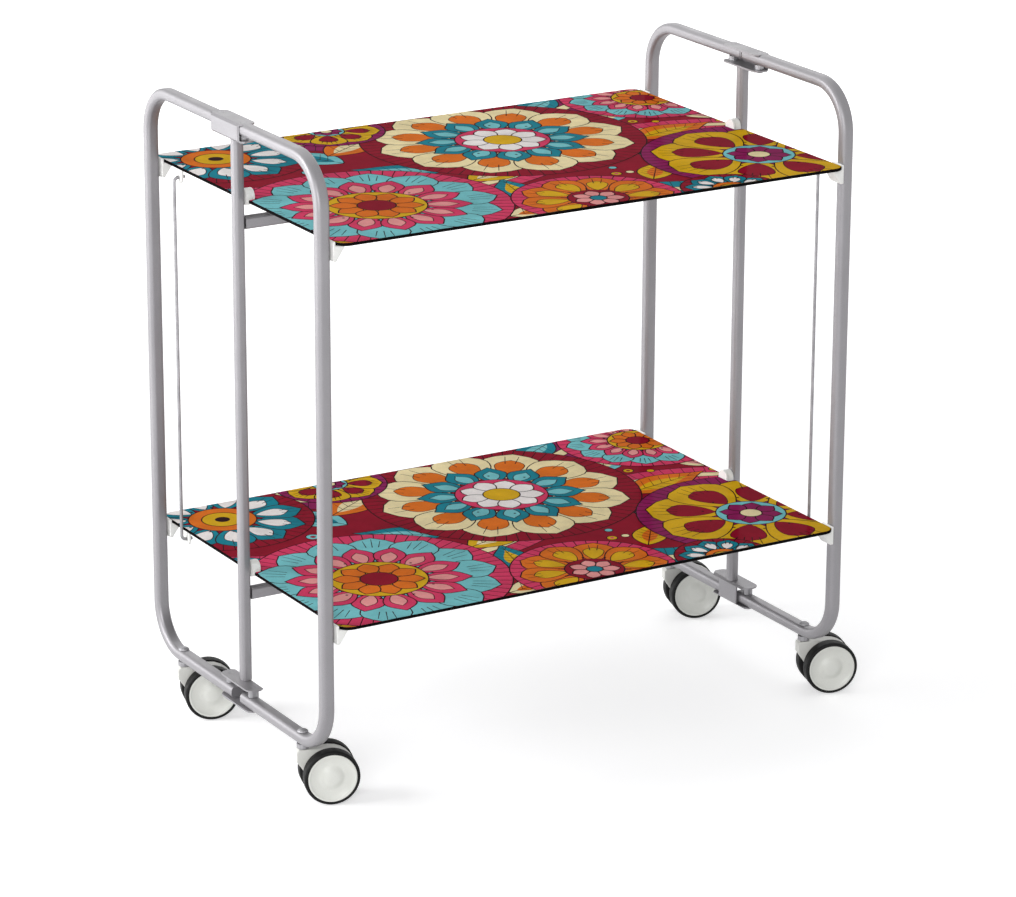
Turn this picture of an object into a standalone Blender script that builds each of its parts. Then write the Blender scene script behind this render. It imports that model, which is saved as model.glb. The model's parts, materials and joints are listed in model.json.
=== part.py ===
"""Folding serving trolley: two hinged end frames, two tipping trays linked by rods, and four twin-wheel castors.

Metres, +Z up. X runs along the trays, Y across them, and the origin is on the floor under the centre.
"""

import math

import bmesh
import bpy
from mathutils import Matrix, Vector

# Overall frame
HEIGHT = 0.720  # floor to the top of the hoops
RAIL_LOW_Z = 0.0727  # centre line of the bottom rails
BEND_RADIUS = 0.0500  # centre line of the hoops' bends

# Frame tube
TUBE_WIDE = 0.0155  # along X
TUBE_DEEP = 0.013  # in the plane of the hoop
TUBE_EDGE = 0.0050  # corner radius
TUBE_WALL = 0.0012
RAIL_END = 0.010  # centre to the cut end of each bottom rail, inside its hinge channel
TOP_RAIL_END = 0.003  # the same for the top rails

# Upright posts and crossbars
POST_SIZE = 0.0125
POST_EDGE = 0.002
POST_WALL = 0.0012
POST_INSET = 0.005  # post's centre, inboard of the hoop plane
CROSSBAR_WIDE = 0.012
CROSSBAR_TALL = 0.013
CROSSBAR_DROP = 0.0205  # tray top to crossbar top

# Hinge channels and their pins
SHEET = 0.0018
SHEET_BEND = 0.0025
CHANNEL_HALF = 0.0355
CHANNEL_ROUND = 0.009
CHANNEL_CHAMFER = 0.006
LOW_WEB_HALF = 0.0180  # half length of a bottom channel's web
TOP_SLACK = 0.0055  # free height under the rail inside a top channel
LOW_SLACK = 0.0090  # free height over the rail inside a bottom channel
PIN_INSET = 0.0095  # channel's end to the pin's axis
PIN_RADIUS = 0.003
PIN_SPACER_RADIUS = 0.0052
PIN_HEAD_RADIUS = 0.0048
PIN_HEAD_TALL = 0.0022
PIN_HEAD_SHARE = 0.6  # of its radius, at the head's flat end

# Trays
TRAY_HALF_LONG = 0.3116
TRAY_GAP = 0.00325  # tray end to the half hoops' tube
TRAY_HALF_WIDE = 0.2134
TRAY_OVERHANG = 0.0180  # upright tubes' centre line to the tray's long edge
TRAY_THICK = 0.0032
TRAY_CORNER = 0.013
TRAY_EASE = 0.0008
TRAY_DROP = 0.0884  # top of the hoops to the upper tray's top face
LOWER_TRAY_Z = 0.2164  # top face
NOTCH_HALF = 0.0115
NOTCH_DEEP = 0.0170
NOTCH_ROUND = 0.003

# Tray pivots
PIVOT_RISE = 0.0015  # pivot axis above the tray's top face
PIVOT_DOME = 0.0085
PIVOT_SIDE_DROP = 0.0040
PIVOT_FOOT_HALF = 0.0050
PIVOT_FOOT_DROP = 0.0086
PIVOT_BLOCK_DEEP = 0.0065
PIVOT_PIN_RADIUS = 0.0030
PIVOT_PIN_REACH = 0.0045
PIVOT_EASE = 0.0006
TRAY_HINGE_FOOT = 0.022
TRAY_HINGE_FOOT_TALL = 0.004

# Corner supports
SUPPORT_LONG = 0.020
SUPPORT_LIP = 0.0010
SUPPORT_DROP = 0.0170
SUPPORT_TIP = 0.0035
SUPPORT_REACH = 0.0100  # how far it goes under the tray
SUPPORT_SHELF = 0.0030

# Link rods and their brackets
ROD_RADIUS = 0.0019
ROD_GAP = 0.0014  # tray end to the rod's side
ROD_INSET = 0.0394  # upright tubes' centre line to the rod's axis
ROD_BEND = 0.005
ROD_INBOARD = 0.0125  # rod's axis to the tip of its bent end
LINK_DROP = 0.0100  # tray underside to the rod end's axis
LINK_HALF = 0.0070
LINK_THICK = 0.0022
LINK_FOOT = 0.0120
LINK_SETBACK = 0.0025  # tray end to the bracket's face

# Castors
STEM_INBOARD = 0.0545  # upright tube's centre line to the castor stem
STEM_RADIUS = 0.004
STEM_DOME_RADIUS = 0.0062
STEM_DOME_TALL = 0.0028
STEM_DOME_SHARES = ((0.55, 0.86), (0.88, 0.45))  # of its radius and of its height, down its curve
STEM_WASHER_RADIUS = 0.0068
STEM_SOCKET_DEEP = 0.013
CASTOR_TRAIL = 0.028
CASTOR_TURN = math.radians(17.0)  # axle's angle from +Y towards +X
WHEEL_RADIUS = 0.0308
WHEEL_WIDE = 0.0145
WHEEL_SIDES = 24
WHEEL_CHAMFER = 0.0025
WHEEL_DISH_RADIUS = 0.0265
WHEEL_DISH_DEEP = 0.0012
WHEEL_CENTRE_RADIUS = 0.0085
WHEEL_GAP = 0.0006
HOOD_WIDE = 0.0130
HOOD_RADIUS = 0.0294
HOOD_LEAD = 0.0078  # stem's axis to the boss's front
HOOD_BOSS_TALL = 0.0135
HOOD_BOSS_EASE = 0.0026
HOOD_THROAT_X = 0.0030  # where the front meets the axle's height
HOOD_NOSE_X = 0.0075
HOOD_NOSE_Z = 0.0190
HOOD_HUB_RADIUS = 0.0145  # arc round the axle on the body's underside
HOOD_TAIL_ANGLE = math.radians(20.0)  # below the axle, where the body ends behind
HOOD_HUB_ANGLE = math.radians(100.0)  # swept by the arc round the axle
HOOD_TOP_GAP = 0.0004
AXLE_RADIUS = 0.003
AXLE_REACH = 0.0100  # axle beyond the hood's side, into the wheel

# Fits
GAP = 0.0003  # between touching pieces
RUN = 0.0001  # radial clearance of a turning fit
OVERRUN = 0.004  # how far a cutter passes the face it cuts
WELD = 0.00003  # points nearer than this are joined

# Mesh finenesses
BEND_STEPS = 7
ROUND_STEPS = 16
CORNER_STEPS = 2
STEM_STEPS = 12

# Worked out from the sizes above
HOOP_X = TRAY_HALF_LONG + TRAY_GAP + TUBE_WIDE / 2  # centre to the plane of each end frame
PIN_PITCH = CHANNEL_HALF - PIN_INSET  # centre to each pin
HOOP_Y = TRAY_HALF_WIDE - TRAY_OVERHANG  # centre to the upright tubes' centre line
ROD_Y = HOOP_Y - ROD_INSET
UPPER_TRAY_Z = HEIGHT - TRAY_DROP  # top face
RAIL_TOP_Z = HEIGHT - TUBE_DEEP / 2
POST_X = HOOP_X - POST_INSET
POST_FACE_X = POST_X - POST_SIZE / 2
TUBE_FACE_X = HOOP_X - TUBE_WIDE / 2
TOP_CHANNEL_TALL = TUBE_DEEP + TOP_SLACK + SHEET
TOP_CHANNEL_Z = HEIGHT - TOP_CHANNEL_TALL  # underside of the top channels
CHANNEL_INNER_X = POST_FACE_X
CHANNEL_OUTER_X = HOOP_X + TUBE_WIDE / 2 + GAP + SHEET
LOW_CHANNEL_Z = RAIL_LOW_Z - TUBE_DEEP / 2 - GAP - SHEET  # underside of the lower channels
LOW_CHANNEL_TALL = 2 * SHEET + GAP + TUBE_DEEP + LOW_SLACK
STEM_Y = HOOP_Y - STEM_INBOARD
WHEEL_AXLE_Z = WHEEL_RADIUS * math.cos(math.pi / WHEEL_SIDES)  # a flat of the faceted tread is on the floor
ROD_X = TRAY_HALF_LONG + ROD_GAP + ROD_RADIUS


def clear_scene():
    for old in list(bpy.data.objects):
        bpy.data.objects.remove(old, do_unlink=True)


def new_collection(name):
    made = bpy.data.collections.new(name)
    bpy.context.scene.collection.children.link(made)
    return made


def material(name, colour, roughness, metallic):
    made = bpy.data.materials.new(name)
    made.use_nodes = True
    shader = made.node_tree.nodes["Principled BSDF"]
    shader.inputs["Base Color"].default_value = (*colour, 1.0)
    shader.inputs["Roughness"].default_value = roughness
    shader.inputs["Metallic"].default_value = metallic
    return made


clear_scene()
PIECES = new_collection("FoldingServingTrolley")
CUTTERS = new_collection("Cutters")
LACQUER = material("grey_lacquer", (0.50, 0.49, 0.50), 0.38, 0.35)
ZINC = material("zinc_steel", (0.55, 0.55, 0.57), 0.35, 0.90)
WHITE_PLASTIC = material("white_plastic", (0.86, 0.86, 0.84), 0.45, 0.0)
PRINTED = material("printed_laminate", (0.45, 0.10, 0.12), 0.22, 0.0)
TYRE_BLACK = material("castor_wheel", (0.03, 0.03, 0.03), 0.55, 0.0)


def place(obj, name, finish, parent=None):
    """Names a finished piece, gives it its material and parents it without moving it."""
    obj.name = name
    obj.data.name = name
    obj.data.materials.clear()
    obj.data.materials.append(finish)
    for home in list(obj.users_collection):
        home.objects.unlink(obj)
    PIECES.objects.link(obj)
    if parent is not None:
        obj.parent = parent
        obj.matrix_parent_inverse = parent_matrix(parent).inverted()
    return obj


def parent_matrix(obj):
    """World matrix of an unparented or parented empty, without waiting for a scene update."""
    local = Matrix.LocRotScale(obj.location, obj.rotation_euler, obj.scale)
    if obj.parent is None:
        return local
    return parent_matrix(obj.parent) @ obj.matrix_parent_inverse @ local


def axis_empty(name, where, turn=0.0):
    """An empty on a joint's axis, turned about Z."""
    made = bpy.data.objects.new(name, None)
    made.location = where
    made.rotation_euler = (0.0, 0.0, turn)
    PIECES.objects.link(made)
    return made


def mesh_object(name, mesh, where=None):
    made = bpy.data.objects.new(name, mesh)
    CUTTERS.objects.link(made)
    if where is not None:
        made.matrix_world = where
    return made


def cutter(obj):
    """Marks an object as a tool: not drawn, and not a piece."""
    obj.hide_render = True
    obj.display_type = "WIRE"
    return obj


def boolean(obj, tool, how):
    change = obj.modifiers.new(how.lower(), "BOOLEAN")
    change.operation = how
    change.object = cutter(tool)
    change.solver = "EXACT"
    return obj


def curve_to_mesh(obj):
    """Turns a curve object into a mesh object with its caps welded, at the same place."""
    bpy.context.view_layer.update()
    graph = bpy.context.evaluated_depsgraph_get()
    mesh = bpy.data.meshes.new_from_object(obj.evaluated_get(graph))
    tidy = bmesh.new()
    tidy.from_mesh(mesh)
    bmesh.ops.remove_doubles(tidy, verts=tidy.verts, dist=WELD)
    bmesh.ops.recalc_face_normals(tidy, faces=tidy.faces)
    tidy.to_mesh(mesh)
    tidy.free()
    made = mesh_object(obj.name + "_mesh", mesh, obj.matrix_world.copy())
    bpy.data.objects.remove(obj, do_unlink=True)
    return made


def rounded(points, radii, steps=CORNER_STEPS):
    """The outline of a polygon whose corners are rounded, each by its own radius."""
    out = []
    count = len(points)
    for i, (corner, radius) in enumerate(zip(points, radii)):
        here = Vector(corner)
        if radius == 0:
            out.append(here)
            continue
        back = (Vector(points[i - 1]) - here).normalized()
        ahead = (Vector(points[(i + 1) % count]) - here).normalized()
        half = back.angle(ahead) / 2
        reach = radius / math.tan(half)
        centre = here + (back + ahead).normalized() * (radius / math.sin(half))
        start = here + back * reach - centre
        swing = start.angle_signed(here + ahead * reach - centre)
        for k in range(steps + 1):
            turn = Matrix.Rotation(-swing * k / steps, 2)
            out.append(centre + turn @ start)
    return out


def box_outline(half_x, half_y, radius, steps=CORNER_STEPS):
    corners = [(half_x, half_y), (-half_x, half_y), (-half_x, -half_y), (half_x, -half_y)]
    return rounded(corners, [radius] * 4, steps)


def circle_outline(radius, centre=(0.0, 0.0), steps=ROUND_STEPS):
    turn = math.tau / steps
    return [
        Vector((centre[0] + radius * math.cos(turn * k), centre[1] + radius * math.sin(turn * k)))
        for k in range(steps)
    ]


def flat_curve(name, outlines, depth, where):
    """A flat outline, with any holes, extruded by depth about its plane and placed."""
    data = bpy.data.curves.new(name, "CURVE")
    data.dimensions = "2D"
    data.fill_mode = "BOTH"
    data.extrude = depth / 2
    for outline in outlines:
        spline = data.splines.new("POLY")
        spline.points.add(len(outline) - 1)
        for point, spot in zip(spline.points, outline):
            point.co = (spot[0], spot[1], 0.0, 1.0)
        spline.use_cyclic_u = True
    made = bpy.data.objects.new(name, data)
    CUTTERS.objects.link(made)
    made.matrix_world = where
    return made


def prism(name, outlines, depth, where):
    return curve_to_mesh(flat_curve(name, outlines, depth, where))


def along_x(x, y=0.0, z=0.0, outward=1):
    """A frame whose outline plane is Y-Z and whose depth runs along X; outline x is world Y."""
    axes = Matrix(((0, 0, outward), (1, 0, 0), (0, 1, 0))).to_4x4()
    return Matrix.Translation((x, y, z)) @ axes


def along_y(x, y, z, outward=1):
    """A frame whose outline x points along outward X and outline y up, with its depth along Y."""
    axes = Matrix(((outward, 0, 0), (0, 0, -outward), (0, 1, 0))).to_4x4()
    return Matrix.Translation((x, y, z)) @ axes


def along_z(x, y, z):
    return Matrix.Translation((x, y, z))


def turned(name, profile, steps, where, phase=0.0):
    """A solid of revolution about local Z; the profile runs from its top, down the outer side, to its bottom."""
    mesh = bpy.data.meshes.new(name)
    edges = [(k, k + 1) for k in range(len(profile) - 1)]
    spin = Matrix.Rotation(phase, 3, "Z")
    mesh.from_pydata([spin @ Vector((r, 0.0, z)) for r, z in profile], edges, [])
    made = mesh_object(name, mesh, where)
    screw = made.modifiers.new("turn", "SCREW")
    screw.axis = "Z"
    screw.steps = steps
    screw.render_steps = steps
    screw.use_merge_vertices = True
    screw.merge_threshold = 0.00001
    screw.use_smooth_shade = True
    return made


def rod_cutter(name, radius, low, high, where, steps=ROUND_STEPS, phase=0.0):
    """A round cutter along local Z of the given frame, from low to high."""
    profile = [(0.0, high), (radius, high), (radius, low), (0.0, low)]
    return cutter(turned(name, profile, steps, where, phase))


def smooth(obj, degrees=35.0):
    obj.data.shade_smooth()
    obj.data.set_sharp_from_angle(angle=math.radians(degrees))
    return obj


def realised(obj, name):
    """The object with its modifiers applied, as a new plain mesh at the same place."""
    bpy.context.view_layer.update()
    graph = bpy.context.evaluated_depsgraph_get()
    mesh = bpy.data.meshes.new_from_object(obj.evaluated_get(graph))
    made = mesh_object(name, mesh, obj.matrix_world.copy())
    bpy.data.objects.remove(obj, do_unlink=True)
    return made


# Half hoops


def hoop_path(grow):
    """Points (y, z) of a half hoop's centre line, from its top rail's end to its bottom rail's; grow lengthens both."""
    path = [(TOP_RAIL_END - grow, RAIL_TOP_Z)]
    corners = [
        (HOOP_Y - BEND_RADIUS, RAIL_TOP_Z - BEND_RADIUS, math.pi / 2),
        (HOOP_Y - BEND_RADIUS, RAIL_LOW_Z + BEND_RADIUS, 0.0),
    ]
    for y, z, start in corners:
        for k in range(BEND_STEPS + 1):
            angle = start - math.pi / 2 * k / BEND_STEPS
            path.append((y + BEND_RADIUS * math.cos(angle), z + BEND_RADIUS * math.sin(angle)))
    path.append((RAIL_END - grow, RAIL_LOW_Z))
    return path


def hoop_sweep(name, end, side, section, grow):
    """A section swept along a half hoop in the end frame on the given end (X) and side (Y)."""
    shape = bpy.data.curves.new(name + "_section", "CURVE")
    shape.dimensions = "2D"
    spline = shape.splines.new("POLY")
    spline.points.add(len(section) - 1)
    for point, spot in zip(spline.points, section):
        point.co = (spot[0], spot[1], 0.0, 1.0)
    spline.use_cyclic_u = True
    shape_object = bpy.data.objects.new(name + "_section", shape)
    CUTTERS.objects.link(shape_object)
    shape_object.hide_render = True
    data = bpy.data.curves.new(name, "CURVE")
    data.dimensions = "3D"
    data.bevel_mode = "OBJECT"
    data.bevel_object = shape_object
    data.use_fill_caps = True
    path = hoop_path(grow)
    line = data.splines.new("POLY")
    line.points.add(len(path) - 1)
    for point, (y, z) in zip(line.points, path):
        point.co = (0.0, side * y, z, 1.0)
    made = bpy.data.objects.new(name, data)
    CUTTERS.objects.link(made)
    made.location = (end * HOOP_X, 0.0, 0.0)
    swept = curve_to_mesh(made)
    bpy.data.objects.remove(shape_object, do_unlink=True)
    return swept


def half_hoop(name, end, side, parent):
    outer = box_outline(TUBE_WIDE / 2, TUBE_DEEP / 2, TUBE_EDGE)
    inner = box_outline(
        TUBE_WIDE / 2 - TUBE_WALL, TUBE_DEEP / 2 - TUBE_WALL, TUBE_EDGE - TUBE_WALL, 1
    )
    tube = hoop_sweep(name, end, side, outer, 0.0)
    boolean(tube, hoop_sweep(name + "_bore", end, side, inner, RAIL_END), "DIFFERENCE")
    flush = box_cutter(
        name + "_flush",
        (end * HOOP_X, side * (CHANNEL_HALF + GAP) / 2, HEIGHT),
        (TUBE_WIDE + OVERRUN, CHANNEL_HALF + GAP, 2 * (SHEET + GAP)),
    )
    boolean(tube, flush, "DIFFERENCE")
    for tag, low, high in (
        ("top", RAIL_TOP_Z - TUBE_DEEP, HEIGHT + OVERRUN),
        ("low", LOW_CHANNEL_Z, RAIL_LOW_Z + TUBE_DEEP),
    ):
        spot = along_z(end * HOOP_X, side * PIN_PITCH, 0.0)
        boolean(tube, rod_cutter(f"{name}_{tag}_pin", PIN_RADIUS + GAP, low, high, spot, STEM_STEPS), "DIFFERENCE")
    stem = along_z(end * HOOP_X, side * STEM_Y, RAIL_LOW_Z)
    boolean(
        tube,
        rod_cutter(name + "_stem", STEM_RADIUS + GAP, -TUBE_DEEP, TUBE_DEEP, stem, STEM_STEPS),
        "DIFFERENCE",
    )
    return place(smooth(realised(tube, name)), name, LACQUER, parent)


def box_cutter(name, centre, size):
    shape = bmesh.new()
    bmesh.ops.create_cube(shape, size=1.0, matrix=Matrix.Diagonal((*size, 1.0)))
    mesh = bpy.data.meshes.new(name)
    shape.to_mesh(mesh)
    shape.free()
    return cutter(mesh_object(name, mesh, Matrix.Translation(centre)))


# Posts and crossbars


def post(name, end, parent):
    low = LOW_CHANNEL_Z + LOW_CHANNEL_TALL + GAP
    high = TOP_CHANNEL_Z - GAP
    half = POST_SIZE / 2
    outline = box_outline(half, half, POST_EDGE)
    bore = box_outline(half - POST_WALL, half - POST_WALL, POST_EDGE - POST_WALL / 2)
    made = prism(name, [outline, bore], high - low, along_z(end * POST_X, 0.0, (high + low) / 2))
    return place(smooth(made), name, LACQUER, parent)


def crossbar(name, tray_z, parent):
    """A flat tube under a tray, from post to post."""
    half = POST_FACE_X - GAP
    outline = box_outline(CROSSBAR_WIDE / 2, CROSSBAR_TALL / 2, POST_EDGE)
    bore = box_outline(
        CROSSBAR_WIDE / 2 - POST_WALL, CROSSBAR_TALL / 2 - POST_WALL, POST_EDGE - POST_WALL / 2
    )
    centre_z = tray_z - CROSSBAR_DROP - CROSSBAR_TALL / 2
    made = prism(name, [outline, bore], 2 * half, along_x(0.0, 0.0, centre_z))
    return place(smooth(made), name, LACQUER, parent)


# Hinge channels


def hinge_channel(name, end, low_z, tall, web_half, parent):
    """A bent sheet channel with rounded plate ends and two pin holes.

    The web is on the outer side over the full length, or where web_half is given it is on the inner
    side and that much long each way from the middle.
    """
    wide = CHANNEL_OUTER_X - CHANNEL_INNER_X
    inside = SHEET_BEND - SHEET
    section = rounded(
        [
            (0.0, 0.0),
            (wide, 0.0),
            (wide, tall),
            (0.0, tall),
            (0.0, tall - SHEET),
            (wide - SHEET, tall - SHEET),
            (wide - SHEET, SHEET),
            (0.0, SHEET),
        ],
        [0.0, SHEET_BEND, SHEET_BEND, 0.0, 0.0, inside, inside, 0.0],
        CORNER_STEPS - 1,
    )
    web, rim = CHANNEL_OUTER_X, CHANNEL_INNER_X
    if web_half:
        web, rim = rim, web
    out = 1 if web > rim else -1
    spot = along_y(end * rim, 0.0, low_z, end * out)
    bent = prism(name, [section], 2 * CHANNEL_HALF + OVERRUN, spot)
    plan = rounded(
        [
            (rim - out * GAP, CHANNEL_HALF),
            (web - out * CHANNEL_CHAMFER, CHANNEL_HALF),
            (web + out * GAP, CHANNEL_HALF - CHANNEL_CHAMFER),
            (web + out * GAP, -CHANNEL_HALF + CHANNEL_CHAMFER),
            (web - out * CHANNEL_CHAMFER, -CHANNEL_HALF),
            (rim - out * GAP, -CHANNEL_HALF),
        ],
        [CHANNEL_ROUND, 0.0, 0.0, 0.0, 0.0, CHANNEL_ROUND],
        CORNER_STEPS + 1,
    )
    plan = [(end * x, y) for x, y in plan]
    boolean(bent, prism(name + "_plan", [plan], 2 * tall, along_z(0.0, 0.0, low_z + tall / 2)), "INTERSECT")
    for side in (-1, 1):
        if web_half:
            spare = CHANNEL_HALF + OVERRUN - web_half
            relief = box_cutter(
                f"{name}_relief{side}",
                (end * web, side * (web_half + spare / 2), low_z + tall / 2),
                (2 * SHEET_BEND, spare, tall - 2 * SHEET_BEND),
            )
            boolean(bent, relief, "DIFFERENCE")
        hole = along_z(end * HOOP_X, side * PIN_PITCH, low_z)
        boolean(
            bent,
            rod_cutter(f"{name}_hole{side}", PIN_RADIUS + GAP, -OVERRUN, tall + OVERRUN, hole, STEM_STEPS),
            "DIFFERENCE",
        )
    return place(smooth(realised(bent, name)), name, LACQUER, parent)


def hinge_pin(name, end, side, tip, spacer, head, parent):
    """A pin with a flush tip, a wider spacer beside the rail and a domed head below.

    tip and head are heights, and spacer is a pair of them, its top and its bottom.
    """
    spacer_top, spacer_low = spacer
    profile = [
        (0.0, tip),
        (PIN_RADIUS, tip),
        (PIN_RADIUS, spacer_top),
        (PIN_SPACER_RADIUS, spacer_top),
        (PIN_SPACER_RADIUS, spacer_low),
        (PIN_RADIUS, spacer_low),
        (PIN_RADIUS, head),
        (PIN_HEAD_RADIUS, head),
        (PIN_HEAD_RADIUS, head - PIN_HEAD_TALL / 2),
        (PIN_HEAD_RADIUS * PIN_HEAD_SHARE, head - PIN_HEAD_TALL),
        (0.0, head - PIN_HEAD_TALL),
    ]
    made = turned(name, profile, STEM_STEPS, along_z(end * HOOP_X, side * PIN_PITCH, 0.0))
    return place(made, name, ZINC, parent)


def top_hinge_pin(name, end, side, parent):
    rail_under = HEIGHT - TUBE_DEEP
    spacer = (rail_under - GAP, rail_under - TOP_SLACK + GAP)
    return hinge_pin(name, end, side, HEIGHT, spacer, TOP_CHANNEL_Z - GAP, parent)


def bottom_hinge_pin(name, end, side, parent):
    tip = LOW_CHANNEL_Z + LOW_CHANNEL_TALL
    spacer = (tip - SHEET - GAP, RAIL_LOW_Z + TUBE_DEEP / 2 + GAP)
    return hinge_pin(name, end, side, tip, spacer, LOW_CHANNEL_Z - GAP, parent)


# Trays and their pivots


def tray(name, top_z, parent):
    """One panel with a notch in the middle of each short edge and eased edges."""
    long, wide, corner = TRAY_HALF_LONG, TRAY_HALF_WIDE, TRAY_CORNER
    deep, half, tight = NOTCH_DEEP, NOTCH_HALF, NOTCH_ROUND
    points = [
        (long, wide),
        (-long, wide),
        (-long, half),
        (-long + deep, half),
        (-long + deep, -half),
        (-long, -half),
        (-long, -wide),
        (long, -wide),
        (long, -half),
        (long - deep, -half),
        (long - deep, half),
        (long, half),
    ]
    radii = [corner, corner, tight, tight, tight, tight] * 2
    outline = rounded(points, radii, CORNER_STEPS + 1)
    made = prism(name, [outline], TRAY_THICK, along_z(0.0, 0.0, top_z - TRAY_THICK / 2))
    ease = made.modifiers.new("eased edge", "BEVEL")
    ease.width = TRAY_EASE
    ease.segments = 2
    ease.limit_method = "ANGLE"
    ease.angle_limit = math.radians(60.0)
    return place(smooth(made), name, PRINTED, parent)


def pivot_outline():
    """The shield shape of a pivot block about its axis: a dome, straight sides and a tapered foot."""
    dome = []
    for k in range(ROUND_STEPS // 2 + 1):
        angle = math.pi * k / (ROUND_STEPS // 2)
        dome.append(Vector((PIVOT_DOME * math.cos(angle), PIVOT_DOME * math.sin(angle))))
    foot = [
        (-PIVOT_DOME, -PIVOT_SIDE_DROP),
        (-PIVOT_FOOT_HALF, -PIVOT_FOOT_DROP),
        (PIVOT_FOOT_HALF, -PIVOT_FOOT_DROP),
        (PIVOT_DOME, -PIVOT_SIDE_DROP),
    ]
    return dome + [Vector(spot) for spot in foot]


def pivot_block(name, end, top_z, parent):
    """The half of a tray pivot that is fixed to the post, with a bore for the tray hinge's pin."""
    x = end * (POST_FACE_X - GAP - PIVOT_BLOCK_DEEP / 2)
    bore = circle_outline(PIVOT_PIN_RADIUS + RUN)
    made = prism(name, [pivot_outline(), bore], PIVOT_BLOCK_DEEP, along_x(x, 0.0, top_z + PIVOT_RISE))
    return place(smooth(made), name, WHITE_PLASTIC, parent)


def tray_hinge(name, end, top_z, parent):
    """The half that turns with the tray: a domed upright in the notch, a foot under the tray and a round pin."""
    outer = POST_FACE_X - GAP - PIVOT_BLOCK_DEEP - GAP
    inner = TRAY_HALF_LONG - NOTCH_DEEP + GAP
    foot_top = -PIVOT_RISE - TRAY_THICK - GAP
    foot_low = foot_top - TRAY_HINGE_FOOT_TALL
    outline = pivot_outline()[: ROUND_STEPS // 2 + 1]
    outline += [Vector((-PIVOT_DOME, foot_low)), Vector((PIVOT_DOME, foot_low))]
    axis_z = top_z + PIVOT_RISE
    upright = prism(name, [outline], outer - inner, along_x(end * (outer + inner) / 2, 0.0, axis_z))
    foot_out = inner + (outer - inner) / 2
    foot = box_cutter(
        name + "_foot",
        (end * (foot_out - TRAY_HINGE_FOOT / 2), 0.0, axis_z + (foot_top + foot_low) / 2),
        (TRAY_HINGE_FOOT, 2 * PIVOT_DOME - 2 * PIVOT_EASE, foot_top - foot_low - 2 * PIVOT_EASE),
    )
    boolean(upright, foot, "UNION")
    spot = along_x(end * outer, 0.0, axis_z, end)
    pin = rod_cutter(name + "_pin", PIVOT_PIN_RADIUS, -(outer - inner) / 2, PIVOT_PIN_REACH, spot)
    boolean(upright, pin, "UNION")
    return place(smooth(realised(upright, name)), name, WHITE_PLASTIC, parent)


def corner_support(name, end, side, top_z, parent):
    """A wedge under a tray corner, with a lip that stands between the tray's end and the upright tube."""
    outer = TUBE_FACE_X - GAP
    lip_inner = TRAY_HALF_LONG + GAP
    shelf_top = -TRAY_THICK - GAP
    inner = TRAY_HALF_LONG - SUPPORT_REACH
    low = -TRAY_THICK - SUPPORT_DROP
    outline = [
        (inner, shelf_top),
        (inner, shelf_top - SUPPORT_SHELF),
        (outer - SUPPORT_TIP, low),
        (outer, low),
        (outer, SUPPORT_LIP),
        (lip_inner, SUPPORT_LIP),
        (lip_inner, shelf_top),
    ]
    spot = along_y(0.0, side * HOOP_Y, top_z, end)
    made = prism(name, [[Vector(p) for p in outline]], SUPPORT_LONG, spot)
    ease = made.modifiers.new("eased edge", "BEVEL")
    ease.width = PIVOT_EASE
    ease.segments = 1
    ease.limit_method = "ANGLE"
    ease.angle_limit = math.radians(60.0)
    return place(made, name, WHITE_PLASTIC, parent)


# Link rods


def link_bracket(name, end, side, top_z, parent):
    """A hanging tab under the tray with the hole for a rod's bent end, and a foot that is fixed to the tray."""
    under = -TRAY_THICK - GAP
    face = TRAY_HALF_LONG - LINK_SETBACK
    hole_z = -TRAY_THICK - LINK_DROP
    tab = [(-LINK_HALF, under), (-LINK_HALF, hole_z), (LINK_HALF, hole_z), (LINK_HALF, under)]
    arc = []
    for k in range(1, ROUND_STEPS // 2):
        angle = math.pi + math.pi * k / (ROUND_STEPS // 2)
        arc.append(Vector((LINK_HALF * math.cos(angle), hole_z + LINK_HALF * math.sin(angle))))
    outline = [Vector(tab[0]), Vector(tab[1])] + arc + [Vector(tab[2]), Vector(tab[3])]
    hole = circle_outline(ROD_RADIUS + GAP, (0.0, hole_z), STEM_STEPS)
    spot = along_x(end * (face - LINK_THICK / 2), side * ROD_Y, top_z)
    made = prism(name, [outline, hole], LINK_THICK, spot)
    foot = box_cutter(
        name + "_foot",
        (end * (face - GAP - LINK_FOOT / 2), side * ROD_Y, top_z + under - GAP / 2 - LINK_THICK / 2),
        (LINK_FOOT, 2 * LINK_HALF - GAP, LINK_THICK),
    )
    boolean(made, foot, "UNION")
    return place(smooth(realised(made, name)), name, WHITE_PLASTIC, parent)


def link_rod(name, end, side, parent):
    """An upright wire with both ends bent inboard through the link brackets."""
    high = UPPER_TRAY_Z - TRAY_THICK - LINK_DROP
    low = LOWER_TRAY_Z - TRAY_THICK - LINK_DROP
    path = [(ROD_X - ROD_INBOARD, high)]
    for start, z in ((math.pi / 2, high - ROD_BEND), (0.0, low + ROD_BEND)):
        for k in range(BEND_STEPS // 2 + 1):
            angle = start - math.pi / 2 * k / (BEND_STEPS // 2)
            path.append((ROD_X - ROD_BEND + ROD_BEND * math.cos(angle), z + ROD_BEND * math.sin(angle)))
    path.append((ROD_X - ROD_INBOARD, low))
    data = bpy.data.curves.new(name, "CURVE")
    data.dimensions = "3D"
    data.bevel_depth = ROD_RADIUS
    data.bevel_resolution = 3
    data.use_fill_caps = True
    line = data.splines.new("POLY")
    line.points.add(len(path) - 1)
    for point, (x, z) in zip(line.points, path):
        point.co = (end * x, 0.0, z - high, 1.0)
    made = bpy.data.objects.new(name, data)
    CUTTERS.objects.link(made)
    made.location = (0.0, side * ROD_Y, high)
    return place(smooth(curve_to_mesh(made), 60.0), name, ZINC, parent)


# Castors


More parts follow.
